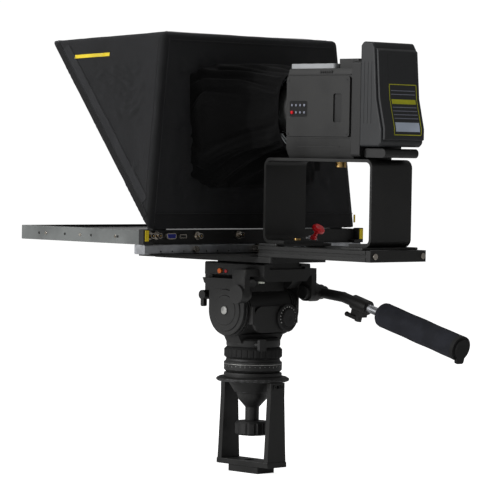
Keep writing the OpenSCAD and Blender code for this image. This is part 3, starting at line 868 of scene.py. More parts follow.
class Slot(Enum):
    """The finishes, each under the material slot name that the record uses."""

    BLACK_METAL = Paint("black_powder_coat", (0.012, 0.012, 0.0115), 0.48, wear=0.35)
    HEAD_GREY = Paint("head_crinkle_paint", (0.017, 0.017, 0.0165), 0.5, grains=600.0, depth=0.14)
    LIGHT_METAL = BareMetal("blasted_alloy", (0.42, 0.43, 0.45), 0.38, brushed=True)
    CASE_GREY = Paint("case_grey_paint", (0.14, 0.148, 0.145), 0.45, bare=(0.5, 0.5, 0.5))
    BLACK_PLASTIC = Plastic("black_moulding", (0.011, 0.011, 0.011), 0.5)
    BATTERY_PLASTIC = Plastic("battery_moulding", (0.018, 0.0193, 0.021), 0.5, grains=1000.0,
                              depth=0.09)
    CAMERA_PAINT = Paint("camera_paint", (0.0185, 0.0185, 0.018), 0.46, grains=1200.0, wear=0.3)
    GRIP_GREY = Plastic("hand_grip_moulding", (0.045, 0.046, 0.058), 0.42)
    FOAM = Foam("grip_foam", (0.014, 0.015, 0.02), 0.7)
    RUBBER_BLACK = Plastic("black_rubber", (0.01, 0.01, 0.01), 0.68, gloss=0.25)
    NICKEL = BareMetal("nickel_plate", (0.62, 0.57, 0.5), 0.2)
    BRASS = BareMetal("gold_plate", (0.72, 0.46, 0.17), 0.24)
    RED_PLASTIC = Plastic("red_moulding", (0.62, 0.008, 0.014), 0.25, coat=0.5, depth=0.01)
    ORANGE_PLASTIC = Plastic("orange_moulding", (0.85, 0.16, 0.012), 0.3, coat=0.4, depth=0.01)
    WHITE_PLASTIC = Plastic("vial_white", (0.75, 0.78, 0.68), 0.2, coat=0.8, depth=0.01)
    FABRIC = Cloth("hood_nylon", (0.0115, 0.0118, 0.0125), 0.72)
    YELLOW = Plastic("yellow_mark", (0.72, 0.54, 0.012), 0.45, depth=0.02)
    BEAM_GLASS = Glass("beam_glass", (0.86, 0.92, 0.93), 0.0, mirror=0.4)
    SCREEN_GLASS = Plastic("screen_glass_black", (0.006, 0.006, 0.008), 0.06, coat=1.0, depth=0.0)

    @property
    def slot_name(self) -> str:
        """The record's name for this slot."""
        return self.name.lower()


class Extra(Enum):
    """Finishes of trims that aren't slots of their own; each names the slot it belongs to."""

    SLEEVE_CLOTH = (Cloth("sleeve_cloth", (0.0016, 0.0016, 0.0017), 0.9, sheen=0.03), Slot.FABRIC)
    LIGHT_BAND = (Cloth("hood_edge_band", (0.02, 0.0205, 0.022), 0.65), Slot.FABRIC)
    HEM_BAND = (Cloth("hood_hem_band", (0.005, 0.005, 0.0052), 0.7, threads=900.0), Slot.FABRIC)
    STITCH = (Plastic("stitch_thread", (0.03, 0.03, 0.032), 0.6), Slot.FABRIC)
    PORT_BLUE = (Plastic("port_blue", (0.012, 0.018, 0.2), 0.35), Slot.NICKEL)
    # Painted shade: a near-black fill inside sockets, slots and holes.
    PORT_BLACK = (Plastic("port_black", (0.006, 0.006, 0.006), 0.4), Slot.NICKEL)
    LABEL_GREY = (Plastic("label_grey", (0.2, 0.21, 0.26), 0.4, depth=0.005), Slot.BATTERY_PLASTIC)
    LABEL_WHITE = (Plastic("label_white", (0.5, 0.57, 0.68), 0.35, depth=0.005),
                   Slot.BATTERY_PLASTIC)
    LABEL_YELLOW = (Plastic("label_yellow", (0.5, 0.5, 0.01), 0.4, depth=0.005),
                    Slot.BATTERY_PLASTIC)
    DIAL_WHITE = (Plastic("dial_white", (0.55, 0.55, 0.53), 0.4, depth=0.005),
                  Slot.BLACK_PLASTIC)
    BADGE = (BareMetal("head_badge", (0.5, 0.5, 0.48), 0.35), Slot.HEAD_GREY)
    TOP_SILVER = (Paint("camera_top_silver", (0.3, 0.31, 0.32), 0.36, bare=(0.6, 0.6, 0.6),
                        gloss=0.6), Slot.LIGHT_METAL)
    LENS_GLASS = (Plastic("lens_front", (0.008, 0.006, 0.012), 0.04, coat=1.0, depth=0.0),
                  Slot.BLACK_METAL)


class Paintbox:
    """Builds each finish's material once and hands it out."""

    def __init__(self) -> None:
        """Build the shared groups."""
        self.effects = Effects()
        self.made: dict[str, bpy.types.Material] = {}

    def material(self, finish: Finish) -> bpy.types.Material:
        """Give a finish's material.

        Args:
            finish: the finish.

        Returns:
            Its material.
        """
        if finish.name not in self.made:
            self.made[finish.name] = finish.build(self.effects)
        return self.made[finish.name]


# ---------------------------------------------------------------- sub-assemblies


@dataclass
class SubAssembly:
    """What every sub-assembly can do: refine its CAD nodes and add pieces of its own."""

    paints: Paintbox

    def dress(self, obj: bpy.types.Object, look: Slot | Extra) -> None:
        """Give an object one finish.

        Args:
            obj: the object.
            look: the finish.
        """
        finish, slot = (look.value, look) if isinstance(look, Slot) else look.value
        obj.data.materials.clear()
        obj.data.materials.append(self.paints.material(finish))

    def piece(self, obj: bpy.types.Object, look: Slot | Extra, body: str,
              *nodes: str) -> bpy.types.Object:
        """Dress a piece, put it on its body and say what it replaces.

        Args:
            obj: the piece.
            look: its finish.
            body: the CAD body it rides on.
            nodes: CAD nodes it stands for.

        Returns:
            The piece.
        """
        self.dress(obj, look)
        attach(obj, body)
        if nodes:
            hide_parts(*nodes)
        faces = len(obj.data.polygons)
        LOG.info("%s: %d faces on %s", obj.name, faces, body)
        return obj

    def refined(self, node: str, look: Slot | Extra, edge: float = 0.6, segments: int = 2,
                name: str | None = None) -> bpy.types.Object:
        """Copy a CAD node, merge it, round its edges and let the copy stand for it.

        Args:
            node: the CAD node.
            look: its finish.
            edge: width of the rounded edges in millimetres.
            segments: faces across each edge.
            name: the piece's name.

        Returns:
            The piece.
        """
        source = frame["nodes"][node]
        made = bpy.data.objects.new(name or f"{node}_made", source.data.copy())
        bpy.context.scene.collection.objects.link(made)
        edit(made)
        bpy.ops.mesh.select_all(action="SELECT")
        bpy.ops.mesh.remove_doubles(threshold=5e-6)
        bpy.ops.mesh.dissolve_limited(angle_limit=math.radians(0.6))
        leave()
        for attribute in list(made.data.attributes):
            if attribute.name.startswith("custom_normal"):
                made.data.attributes.remove(attribute)
        soften(made, edge, segments)
        return self.piece(made, look, source["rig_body"], node)

    def screw(self, name: str, place: Point, axis: Point, radius: float, height: float
              ) -> bpy.types.Object:
        """Model a socket-head screw.

        Args:
            name: its name.
            place: centre of the head's seat, in millimetres.
            axis: the way its head faces.
            radius: head radius.
            height: head height.

        Returns:
            The screw.
        """
        made = spun(name, [(0, 0), (radius, 0), (radius, height * 0.8), (radius * 0.9, height),
                           (radius * 0.5, height), (radius * 0.5, height * 0.4),
                           (0, height * 0.35)], place, axis, 24)
        return soften(made, 0.0)


@dataclass
class BowlStand(SubAssembly):
    """The short two-legged stand with its bowl, ball and tie-down knob."""

    def build(self) -> None:
        """Make the stand."""
        self.refined("stand_bowl", Slot.HEAD_GREY, 1.0, 3)
        self.refined("stand_legs", Slot.BLACK_METAL, 1.2, 3)
        self.refined("stand_foot", Slot.BLACK_METAL, 1.0, 3)
        self.refined("half_ball", Slot.HEAD_GREY, 0.8)
        self.refined("tie_down_knob", Slot.BLACK_PLASTIC, 0.9)
        self.bolts()

    def bolts(self) -> None:
        """Bolts through the tops of the legs."""
        parts = []
        for side in (-1, 1):
            seat = side * 62
            for x in (-8, 8):
                parts.append(self.screw("bolt", (x, seat, 150), (0, side, 0), 3.4, 2.0))
        self.piece(joined("leg_bolts", parts), Slot.BLACK_METAL, "stand")


@dataclass
class PanUnit(SubAssembly):
    """The pan base, drag ring and yoke."""

    ribs: int = 60

    def build(self) -> None:
        """Make the pan unit."""
        self.refined("pan_base", Slot.HEAD_GREY, 0.6)
        self.refined("pan_drag_ring", Slot.RUBBER_BLACK, 0.5)
        self.refined("pan_yoke", Slot.HEAD_GREY, 0.6)
        self.refined("pan_lock_lever", Slot.BLACK_PLASTIC, 1.2, 3)
        self.scale_line()
        self.dial()

    def scale_line(self) -> None:
        """A thin light ring and scale ticks round the fixed base."""
        ring = spun("ring", [(49.5, 186.6), (50.2, 186.6), (50.2, 187.3), (49.5, 187.3)],
                    (0, 0, 0), Axis.Z.value, 96, closed=True)
        ticks = [ring]
        for i, turn in enumerate(round_turns(10, 36)):
            tall = 3.2 if i % 3 == 0 else 1.8
            tick = block("tick", (49.85, -0.25, 188.6 - tall), (50.25, 0.25, 188.4))
            tick.data.transform(Matrix.Translation((0, 0, -0.004)) @ Matrix.Rotation(turn, 4, "Z"))
            ticks.append(tick)
        self.piece(joined("pan_scale", ticks), Extra.BADGE, "stand")

    def dial(self) -> None:
        """The counterbalance dial with its ring of dots."""
        centre = (-26, 0, 268)
        made = spun("counterbalance_dial_made", [
            (0, 47.2), (6, 47.2), (6, 53.3), (23, 53.3), (23.8, 54), (23.8, 56.5), (22.6, 58),
            (20.5, 58.4), (19.8, 57.6), (16.4, 57.6), (15.8, 58.6), (15.2, 61), (14, 62),
            (5, 62), (4.4, 61.4), (0, 61.4)], (centre[0], 0, centre[2]), Axis.Y.value, 72)
        ridge = rod("ridge", (centre[0] + 15.3, 58.4, centre[2]),
                    (centre[0] + 15.3, 61.6, centre[2]), 1.1, 10)
        parts = [made]
        pivot = Matrix.Translation(Vector(centre) * MM)
        for turn in round_turns(15, 24):
            spin = pivot @ Matrix.Rotation(turn, 4, "Y") @ pivot.inverted()
            parts.append(twin(ridge, "ridge", spin))
        bpy.data.objects.remove(ridge)
        whole = soften(joined("counterbalance_dial_made", parts), 0.25)
        self.piece(whole, Slot.BLACK_PLASTIC, "dial", "counterbalance_dial")
        dots = []
        for turn in round_turns(18, 14):
            angle = turn - math.radians(117)
            x, z = centre[0] + 18 * math.sin(angle), centre[2] + 18 * math.cos(angle)
            dots.append(rod("dot", (x, 57.4, z), (x, 57.9, z), 1.05, 16))
        self.piece(joined("dial_dots", dots), Extra.DIAL_WHITE, "dial")


@dataclass
class TiltUnit(SubAssembly):
    """The tilting drum, platform and its controls."""

    def build(self) -> None:
        """Make the tilt unit."""
        self.refined("tilt_body", Slot.HEAD_GREY, 1.0, 3)
        self.refined("tilt_platform", Slot.HEAD_GREY, 1.0, 3)
        self.refined("cheek_covers", Slot.HEAD_GREY, 0.8)
        self.badges()
        self.refined("tilt_lock_lever", Slot.BLACK_PLASTIC, 1.2, 3)
        self.refined("release_button", Slot.ORANGE_PLASTIC, 0.8, 3)
        self.refined("safety_button", Slot.RED_PLASTIC, 0.5, 3)
        self.refined("bubble_level", Slot.WHITE_PLASTIC, 0.6, 3)
        self.refined("slide_plate", Slot.BLACK_METAL, 0.6)

    def badges(self) -> None:
        """A plain domed disc at the middle of each side plate."""
        discs = [spun("badge", [(0, 0), (7.0, 0), (7.0, 0.5), (6.4, 0.9), (0, 1.3)],
                      (side * 70.9, 0, 280), (side, 0, 0), 40) for side in (-1, 1)]
        self.piece(joined("head_badges", discs), Extra.BADGE, "tilt_head")


@dataclass
class PanBar(SubAssembly):
    """The cranked pan bar with its clamp, tube and foam grip."""

    start: tuple[float, float, float] = (-104.0, 113.0, 304.0)
    droop: float = 15.0
    grip_from: float = 94.0
    grip_to: float = 278.0
    grip_radius: float = 21.5

    def place(self) -> Matrix:
        """The matrix from lengths along the bar to the row frame."""
        return Matrix.Translation(Vector(self.start) * MM) @ \
            Matrix.Rotation(-math.radians(self.droop), 4, "X")

    def build(self) -> None:
        """Make the pan bar."""
        self.refined("pan_bar", Slot.BLACK_METAL, 0.8, 3)
        self.refined("rosette_knob", Slot.BLACK_PLASTIC, 0.7)
        self.refined("clamp_lever", Slot.BLACK_METAL, 0.5)
        self.refined("bar_tube", Slot.LIGHT_METAL, 0.3)
        self.grip()
        self.refined("grip_cap", Slot.RUBBER_BLACK, 1.4, 3)

    def grip(self) -> None:
        """The foam grip: a slightly waisted sleeve with rolled ends."""
        long = self.grip_to - self.grip_from
        profile = [(7.0, 0.0), (self.grip_radius - 6, 0.0), (self.grip_radius - 3, 1.2),
                   (self.grip_radius - 1, 3.8), (self.grip_radius - 0.1, 8)]
        for i in range(1, 24):
            t = i / 24
            wave = 0.35 * math.sin(t * math.pi * 5) * math.sin(t * math.pi)
            profile.append((self.grip_radius - 0.35 + wave, 8 + t * (long - 15)))
        profile += [(self.grip_radius - 0.2, long - 6), (self.grip_radius - 0.6, long - 4),
                    (7.0, long - 4)]
        made = spun("foam_grip_made", profile, (0, self.grip_from, 0), Axis.Y.value, 64,
                    closed=True)
        made.data.transform(self.place())
        soften(made, 0.0, smooth=50)
        self.piece(made, Slot.FOAM, "grip", "foam_grip")


@dataclass
class Base(SubAssembly):
    """The base plate, cross bar, neck plate, rails and lock knob."""

    def build(self) -> None:
        """Make the base."""
        self.refined("base_plate", Slot.BLACK_METAL, 0.8)
        self.refined("cross_bar", Slot.LIGHT_METAL, 0.6)
        self.refined("neck_plate", Slot.BLACK_METAL, 0.5)
        self.refined("rails", Slot.BLACK_METAL, 0.4)
        self.refined("rail_end_bar", Slot.BLACK_METAL, 0.8)
        self.refined("knob_bracket", Slot.LIGHT_METAL, 0.6)
        self.refined("red_knob", Slot.RED_PLASTIC, 0.8, 3)
        self.refined("centre_knob", Slot.NICKEL, 0.5)
        self.refined("frame_screws", Slot.NICKEL, 0.25)


@dataclass
class Monitor(SubAssembly):
    """The flat monitor under the glass."""

    def build(self) -> None:
        """Make the monitor."""
        case = self.refined("monitor_case", Slot.CASE_GREY, 1.0, 3)
        # Painted shade: the case faces that look towards +Y take the black material.
        self.paint_facing_shade(case, lambda n: n.y > 0.6)
        self.refined("monitor_cover", Slot.CASE_GREY, 0.4)
        self.refined("screen_panel", Slot.BLACK_PLASTIC, 0.4)
        self.refined("screen_glass", Slot.SCREEN_GLASS, 0.3)
        self.refined("corner_blocks", Slot.BLACK_PLASTIC, 0.8)
        self.refined("monitor_sockets", Slot.NICKEL, 0.3)
        self.port_inserts()
        self.side_holes()

    def paint_facing_shade(self, obj: bpy.types.Object, facing: Test) -> None:
        """Paint shade on the faces that look one way, with the black powder-coat material.

        Args:
            obj: the piece.
            facing: test on a face's normal.
        """
        obj.data.materials.append(self.paints.material(Slot.BLACK_METAL.value))
        for face in obj.data.polygons:
            if facing(face.normal):
                face.material_index = 1

    def port_inserts(self) -> None:
        """The coloured face of the video socket with its pins, and painted shade: dark fills in the
        sockets, the slot and the holes.
        """
        blue = soften(swept("blue", [(187, 0.9, 403.6), (203, 0.9, 403.6), (204.4, 0.9, 410.4),
                                     (185.6, 0.9, 410.4)], (0, 0.9, 0)), 0.4)
        self.piece(joined("video_port_face", [blue]), Extra.PORT_BLUE, "rig")
        # Painted shade: dark fills for the slot, the video socket's holes and the socket ends.
        dark = [soften(block("slot", (160, -2.1, 404.5), (172, -1.6, 408.5)), 0.2)]
        hole = rod("hole", (0, 0.5, 0), (0, 2.1, 0), 0.55, 10)
        for row, z in enumerate((405.3, 407.0, 408.7)):
            for i in range(5):
                dark.append(twin(hole, "hole", Matrix.Translation(
                    Vector((189.4 + i * 2.7 + row * 0.7, 0, z)) * MM)))
        bpy.data.objects.remove(hole)
        for x, z in ((241, 408), (225, 408), (132, 407), (35, 408)):
            dark.append(rod("core", (x, 5.4, z), (x, 6.3, z), 3.4, 24))
        self.piece(joined("port_core_shade", dark), Extra.PORT_BLACK, "rig")
        rings = []
        for x, z in ((241, 408), (225, 408), (132, 407), (35, 408)):
            rings.append(spun("pin", [(0, 0), (1.0, 0), (1.0, 1.4), (0.7, 1.8), (0, 1.8)],
                              (x, 5.6, z), (0, 1, 0), 16))
            lug = rod("lug", (x - 5.8, 3.0, z), (x + 5.8, 3.0, z), 0.9, 12)
            rings.append(lug)
        self.piece(joined("port_pins", rings), Slot.BRASS, "rig")

    def side_holes(self) -> None:
        """Countersunk screws along both long sides of the case."""
        heads = []
        head = self.screw("head", (0, 0, 0), (1, 0, 0), 2.2, 0.6)
        for y in (-268, -200, -132, -64):
            heads.append(twin(head, "head", Matrix.Translation(Vector((257.9, y, 405)) * MM)))
            flip = Matrix.Translation(Vector((-257.9, y, 405)) * MM) @ \
                Matrix.Rotation(math.pi, 4, "Z")
            heads.append(twin(head, "head", flip))
        bpy.data.objects.remove(head)
        self.piece(joined("case_screws", heads), Slot.BLACK_METAL, "rig")


class Panel(Enum):
    """The sewn panels of the hood: outward normal axis signs and the corners, in millimetres."""

    REAR = ((-248, 0, 419), (248, 0, 419), (207, -12, 749), (-207, -12, 749))
    TOP = ((-207, -12, 749), (207, -12, 749), (216, -291, 737), (-216, -291, 737))
    RIGHT = ((248, 0, 419), (216, -291, 737), (207, -12, 749))
    LEFT = ((-248, 0, 419), (-207, -12, 749), (-216, -291, 737))

    def corners(self) -> list[Vector]:
        """The corners in metres."""
        return [Vector(c) * MM for c in self.value]

    def normal(self) -> Vector:
        """The outward normal."""
        a, b, c = self.corners()[:3]
        turned = (b - a).cross(c - b).normalized()
        middle = sum(self.corners(), Vector()) / len(self.value)
        return turned if turned.dot(middle - Vector((0, -0.1, 0.63))) > 0 else -turned

    def inside(self, point: Vector) -> float:
        """Distance in metres from a point to the nearest edge of the panel."""
        ring = self.corners()
        best = 1.0
        for a, b in zip(ring, ring[1:] + ring[:1]):
            along = (b - a).normalized()
            off = point - a
            best = min(best, (off - along * off.dot(along)).length)
        return best

    def at(self, origin: int, towards: int, other: int, u: float, v: float) -> Vector:
        """A point u mm from a corner along one edge and v mm squarely in from it.

        Args:
            origin: the corner it starts from.
            towards: the corner that u runs to.
            other: a corner on the side that v runs to.
            u: distance along.
            v: distance in.

        Returns:
            The point in metres.
        """
        ring = self.corners()
        along = (ring[towards] - ring[origin]).normalized()
        inward = ring[other] - ring[origin]
        inward = (inward - along * inward.dot(along)).normalized()
        return ring[origin] + along * u * MM + inward * v * MM


@dataclass
class Hood(SubAssembly):
    """The fabric hood, its glass and the gathered lens sleeve."""

    sag: float = 3.2
    wrinkle: float = 1.3
    cloth: float = 1.4
    opening: tuple[float, float, float] = (141.0, 494.0, 693.0)
    corner_top: tuple[float, float] = (60.0, 20.0)
    corner_low: tuple[float, float] = (39.0, 20.0)
    sleeve_rings: tuple[tuple[float, float, float, float], ...] = (
        (0.6, 148.0, 487.5, 699.0), (13.0, 146.0, 489.0, 699.0), (30.0, 126.0, 508.0, 698.0),
        (46.0, 101.0, 530.0, 696.0), (60.0, 82.0, 545.0, 693.0), (84.0, 70.0, 551.0, 690.0),
        (104.0, 62.5, 554.5, 687.0), (112.0, 60.0, 556.0, 686.0))

    def build(self) -> None:
        """Make the hood."""
        self.refined("glass_frame", Slot.BLACK_METAL, 0.8)
        self.refined("beam_glass", Slot.BEAM_GLASS, 0.2)
        self.cover()
        self.bands()
        self.stitches()
        self.mark()
        self.refined("hood_trim", Slot.YELLOW, 0.2)
        self.sleeve()

    def hang(self, panel: Panel, point: Vector, lift: float = 0.0) -> Vector:
        """Where a point of a panel lies once the cloth has sagged and creased.

        Args:
            panel: the panel.
            point: a point on the flat panel, in metres.
            lift: how far above the cloth it lies, in millimetres.

        Returns:
            The point in metres.
        """
        deep = panel.inside(point)
        ease = min(1.0, deep / 0.09)
        ease = ease * ease * (3 - 2 * ease)
        near = min(1.0, deep / 0.02)
        fold = noise.noise(Vector((point.x * 7, point.y * 9, point.z * 5))) * self.wrinkle
        crease = abs(noise.noise(Vector((point.x * 16 + 5, point.y * 14, point.z * 8 + 2))))
        move = -self.sag * ease + (fold - 1.1 * (1 - crease) ** 6) * near
        return point + panel.normal() * (move + lift) * MM

    def cover(self) -> None:
        """The hood as one sewn sheet with turned corners and an opening for the sleeve."""
        bpy.ops.object.select_all(action="DESELECT")
        bpy.ops.mesh.primitive_cube_add(size=2)
        made = bpy.context.object
        made.name = "hood_cloth"
        places = {(s, r, t): (
            (s * 207, -12, 749) if r > 0 and t > 0 else
            (s * 216, -291, 737) if t > 0 else (s * 248, 0, 419))
            for s in (-1, 1) for r in (-1, 1) for t in (-1, 1)}
        for vertex in made.data.vertices:
            key = tuple(int(math.copysign(1, c)) for c in vertex.co)
            vertex.co = Vector(places[key]) * MM
        mesh = edit(made, "VERT")
        bpy.ops.mesh.select_all(action="SELECT")
        bpy.ops.mesh.remove_doubles(threshold=1e-5)
        bpy.ops.mesh.normals_make_consistent(inside=False)
        bpy.ops.mesh.select_mode(type="FACE")
        mesh = bmesh.from_edit_mesh(made.data)
        pick_faces(made, mesh, normal=lambda n: n.z < -0.5)
        bpy.ops.mesh.delete(type="FACE")
        bpy.ops.mesh.select_mode(type="EDGE")
        mesh = bmesh.from_edit_mesh(made.data)
        for edge in mesh.edges:
            edge.select_set(len(edge.link_faces) == 2)
        bmesh.update_edit_mesh(made.data)
        bpy.ops.mesh.bevel(offset=9 * MM, segments=4, affect="EDGES")
        half, low, high = (value * MM for value in self.opening)
        cuts = [((half, 0, 0), (1, 0, 0)), ((-half, 0, 0), (1, 0, 0)),
                ((0, 0, low), (0, 0, 1)), ((0, 0, high), (0, 0, 1)),
                ((0, 0, 0.6), (0, 0, 1)), ((0, -0.15, 0), (0, 1, 0)),
                ((0, -0.08, 0), (0, 1, 0)), ((0, -0.22, 0), (0, 1, 0))]
        for side in (-1, 1):
            for (wide, tall), edge, turn in ((self.corner_top, high, 1),
                                             (self.corner_low, low, -1)):
                cuts.append(((side * half, 0, edge - turn * tall * MM),
                             Vector((side * tall, 0, turn * wide)).normalized()))
        for where, normal in cuts:
            bpy.ops.mesh.select_all(action="SELECT")
            bpy.ops.mesh.bisect(plane_co=where, plane_no=normal)
        bpy.ops.mesh.select_mode(type="FACE")
        mesh = bmesh.from_edit_mesh(made.data)
        pick_faces(made, mesh, lambda c: c.y > -0.05 and self.in_opening(c))
        bpy.ops.mesh.delete(type="FACE")
        bpy.ops.mesh.select_all(action="SELECT")
        bpy.ops.mesh.quads_convert_to_tris()
        for _ in range(4):
            bpy.ops.mesh.select_all(action="DESELECT")
            mesh = bmesh.from_edit_mesh(made.data)
            for edge in mesh.edges:
                edge.select_set(edge.calc_length() > 0.011)
            bmesh.update_edit_mesh(made.data)
            bpy.ops.mesh.select_mode(type="EDGE")
            bpy.ops.mesh.subdivide(number_cuts=1)
        bpy.ops.mesh.select_all(action="SELECT")
        bpy.ops.mesh.normals_make_consistent(inside=False)
        leave()
        normals = {panel: panel.normal() for panel in Panel}
        for vertex in made.data.vertices:
            panel = max(Panel, key=lambda p: normals[p].dot(vertex.normal))
            if normals[panel].dot(vertex.normal) > 0.985:
                vertex.co = self.hang(panel, vertex.co.copy())
        self.lay_out(made)
        modify(made, "SMOOTH", factor=0.35, iterations=1)
        modify(made, "SOLIDIFY", thickness=self.cloth * MM, offset=-1, use_rim=True)
        take(made)
        bpy.ops.object.shade_smooth()
        self.piece(made, Slot.FABRIC, "rig", "hood_cover")

    def corner_pull(self, x: float, z: float, half: float, tall: float) -> float:
        """How far a point on a rectangle moves in to reach its cut corner.

        Args:
            x: distance from the middle, sideways.
            z: distance from the middle, upwards.
            half: half the rectangle's width.
            tall: half its height.

        Returns:
            The scale that puts the point on the cut, at most 1.
        """
        wide_cut, tall_cut = self.corner_top if z > 0 else self.corner_low
        reach = half / wide_cut + tall / tall_cut - 1
        return min(1.0, reach / max(1e-6, abs(x) / wide_cut + abs(z) / tall_cut))

    def in_opening(self, place: Vector) -> bool:
        """Whether a point in metres is inside the opening in the rear panel."""
        half, low, high = self.opening
        x, z = place.x / MM, place.z / MM - (low + high) / 2
        tall = (high - low) / 2
        return abs(x) < half and abs(z) < tall and self.corner_pull(x, z, half, tall) >= 1.0

    @staticmethod
    def lay_out(obj: bpy.types.Object) -> None:
        """Give a cloth piece its own UV map, in metres, each panel laid flat.

        Args:
            obj: the cloth.
        """
        sheet = obj.data.uv_layers.new(name="cloth")
        for face in obj.data.polygons:
            n = [abs(c) for c in face.normal]
            a, b = ((1, 2), (0, 2), (0, 1))[n.index(max(n))]
            for corner in face.loop_indices:
                place = obj.data.vertices[obj.data.loops[corner].vertex_index].co
                sheet.data[corner].uv = (place[a], place[b])

    def ribbon(self, name: str, panel: Panel, frame_of: tuple[int, int, int], start: float,
               end: float, inner: float, outer: float, steps: int = 48, thick: float = 0.7
               ) -> bpy.types.Object:
        """Lay a sewn band on a panel, following its sag.

        Args:
            name: the band's name.
            panel: the panel it lies on.
            frame_of: corners that give its direction, as for Panel.at.
            start: where it starts along the edge, in millimetres.
            end: where it ends.
            inner: its near side, in from the edge.
            outer: its far side.
            steps: pieces along it.
            thick: its thickness.

        Returns:
            The band, a closed solid.
        """
        bpy.ops.object.select_all(action="DESELECT")
        bpy.ops.mesh.primitive_grid_add(x_subdivisions=steps, y_subdivisions=4, size=2)
        made = bpy.context.object
        made.name = name
        for vertex in made.data.vertices:
            u = start + (vertex.co.x + 1) / 2 * (end - start)
            v = inner + (vertex.co.y + 1) / 2 * (outer - inner)
            vertex.co = self.hang(panel, panel.at(*frame_of, u, v), 0.25)
        made.data.update()
        if made.data.polygons[0].normal.dot(panel.normal()) < 0:
            made.data.flip_normals()
        self.lay_out(made)
        modify(made, "SOLIDIFY", thickness=thick * MM, offset=1, use_rim=True)
        return soften(made, 0.0)

    def bands(self) -> None:
        """The turned dark edge, the lighter band inside it and the hem at the rear foot."""
        slant = (Vector(Panel.RIGHT.value[1]) - Vector(Panel.RIGHT.value[0])).length
        light, dark = [], []
        for panel, corners in ((Panel.RIGHT, (0, 1, 2)), (Panel.LEFT, (0, 2, 1))):
            light.append(self.ribbon("band", panel, corners, 46, slant - 34, 13.5, 27))
            dark.append(self.ribbon("edge", panel, corners, 22, slant - 16, 1.5, 12.5))
        dark.append(self.ribbon("edge", Panel.TOP, (3, 2, 0), 12, 420, 1.5, 11.0))
        hem = self.ribbon("hood_hem", Panel.REAR, (0, 1, 3), 14, 482, 1.5, 24.5, 72)
        self.piece(joined("hood_light_band", light), Extra.LIGHT_BAND, "rig")
        self.piece(joined("hood_edge_strip", dark), Extra.HEM_BAND, "rig")
        self.piece(hem, Extra.HEM_BAND, "rig")

    def stitches(self) -> None:
        """Lines of stitching beside every seam, as short raised threads."""
        threads = []
        thread = rod("thread", (0, 0, -1.6), (0, 0, 1.6), 0.42, 6)
        slant = (Vector(Panel.RIGHT.value[1]) - Vector(Panel.RIGHT.value[0])).length
        lines = []
        for panel, corners in ((Panel.RIGHT, (0, 1, 2)), (Panel.LEFT, (0, 2, 1))):
            lines += [(panel, corners, 40, slant - 34, 12.9),
                      (panel, corners, 50, slant - 38, 27.8)]
        for corners in ((1, 2, 0), (0, 3, 1)):
            lines.append((Panel.REAR, corners, 12, 322, 12.5))
        lines.append((Panel.REAR, (3, 2, 0), 16, 398, 13.5))
        lines.append((Panel.REAR, (0, 1, 3), 18, 478, 25.6))
        for corners in ((2, 0, 1), (1, 0, 2)):
            lines.append((Panel.RIGHT if corners[0] == 2 else Panel.LEFT, corners, 12, 316, 12.5))
        lines.append((Panel.TOP, (0, 1, 3), 16, 398, 13.5))
        for panel, corners, start, end, inset in lines:
            u = start
            while u < end:
                a = self.hang(panel, panel.at(*corners, u, inset), 0.9) / MM
                b = self.hang(panel, panel.at(*corners, min(u + 3.2, end), inset), 0.9) / MM
                run = (b - a).normalized()
                turn = run.to_track_quat("Z", "Y").to_matrix().to_4x4()
                threads.append(twin(thread, "thread", Matrix.Translation((a + b) / 2 * MM) @ turn))
                u += 4.6
        bpy.data.objects.remove(thread)
        self.piece(joined("hood_stitching", threads), Extra.STITCH, "rig")

    def mark(self) -> None:
        """One plain yellow stripe on both sides."""
        stripes = [self.ribbon("mark", panel, corners, 62, 148, 29, 35)
                   for panel, corners in ((Panel.RIGHT, (1, 2, 0)), (Panel.LEFT, (2, 1, 0)))]
        self.piece(joined("hood_mark", stripes), Slot.YELLOW, "rig")

    def sleeve(self) -> None:
        """The gathered sleeve: folds that deepen away from the hood and draw in at the lens."""
        around, along = 264, 72
        bpy.ops.object.select_all(action="DESELECT")
        bpy.ops.mesh.primitive_grid_add(x_subdivisions=around, y_subdivisions=along, size=2)
        made = bpy.context.object
        made.name = "sleeve_cloth"
        for vertex in made.data.vertices:
            turn = (vertex.co.x + 1) * math.pi
            vertex.co = self.sleeve_point(turn, (vertex.co.y + 1) / 2)
        edit(made, "VERT")
        bpy.ops.mesh.select_all(action="SELECT")
        bpy.ops.mesh.remove_doubles(threshold=1e-5)
        bpy.ops.mesh.normals_make_consistent(inside=False)
        leave()
        sheet = made.data.uv_layers.new(name="cloth")
        for loop, place in zip(made.data.loops, sheet.data):
            p = made.data.vertices[loop.vertex_index].co
            place.uv = (math.atan2(p.z - 0.6, p.x) * 0.12, p.y)
        modify(made, "SOLIDIFY", thickness=1.1 * MM, offset=-1, use_rim=True)
        take(made)
        bpy.ops.object.shade_smooth()
        self.piece(made, Extra.SLEEVE_CLOTH, "rig", "lens_sleeve")

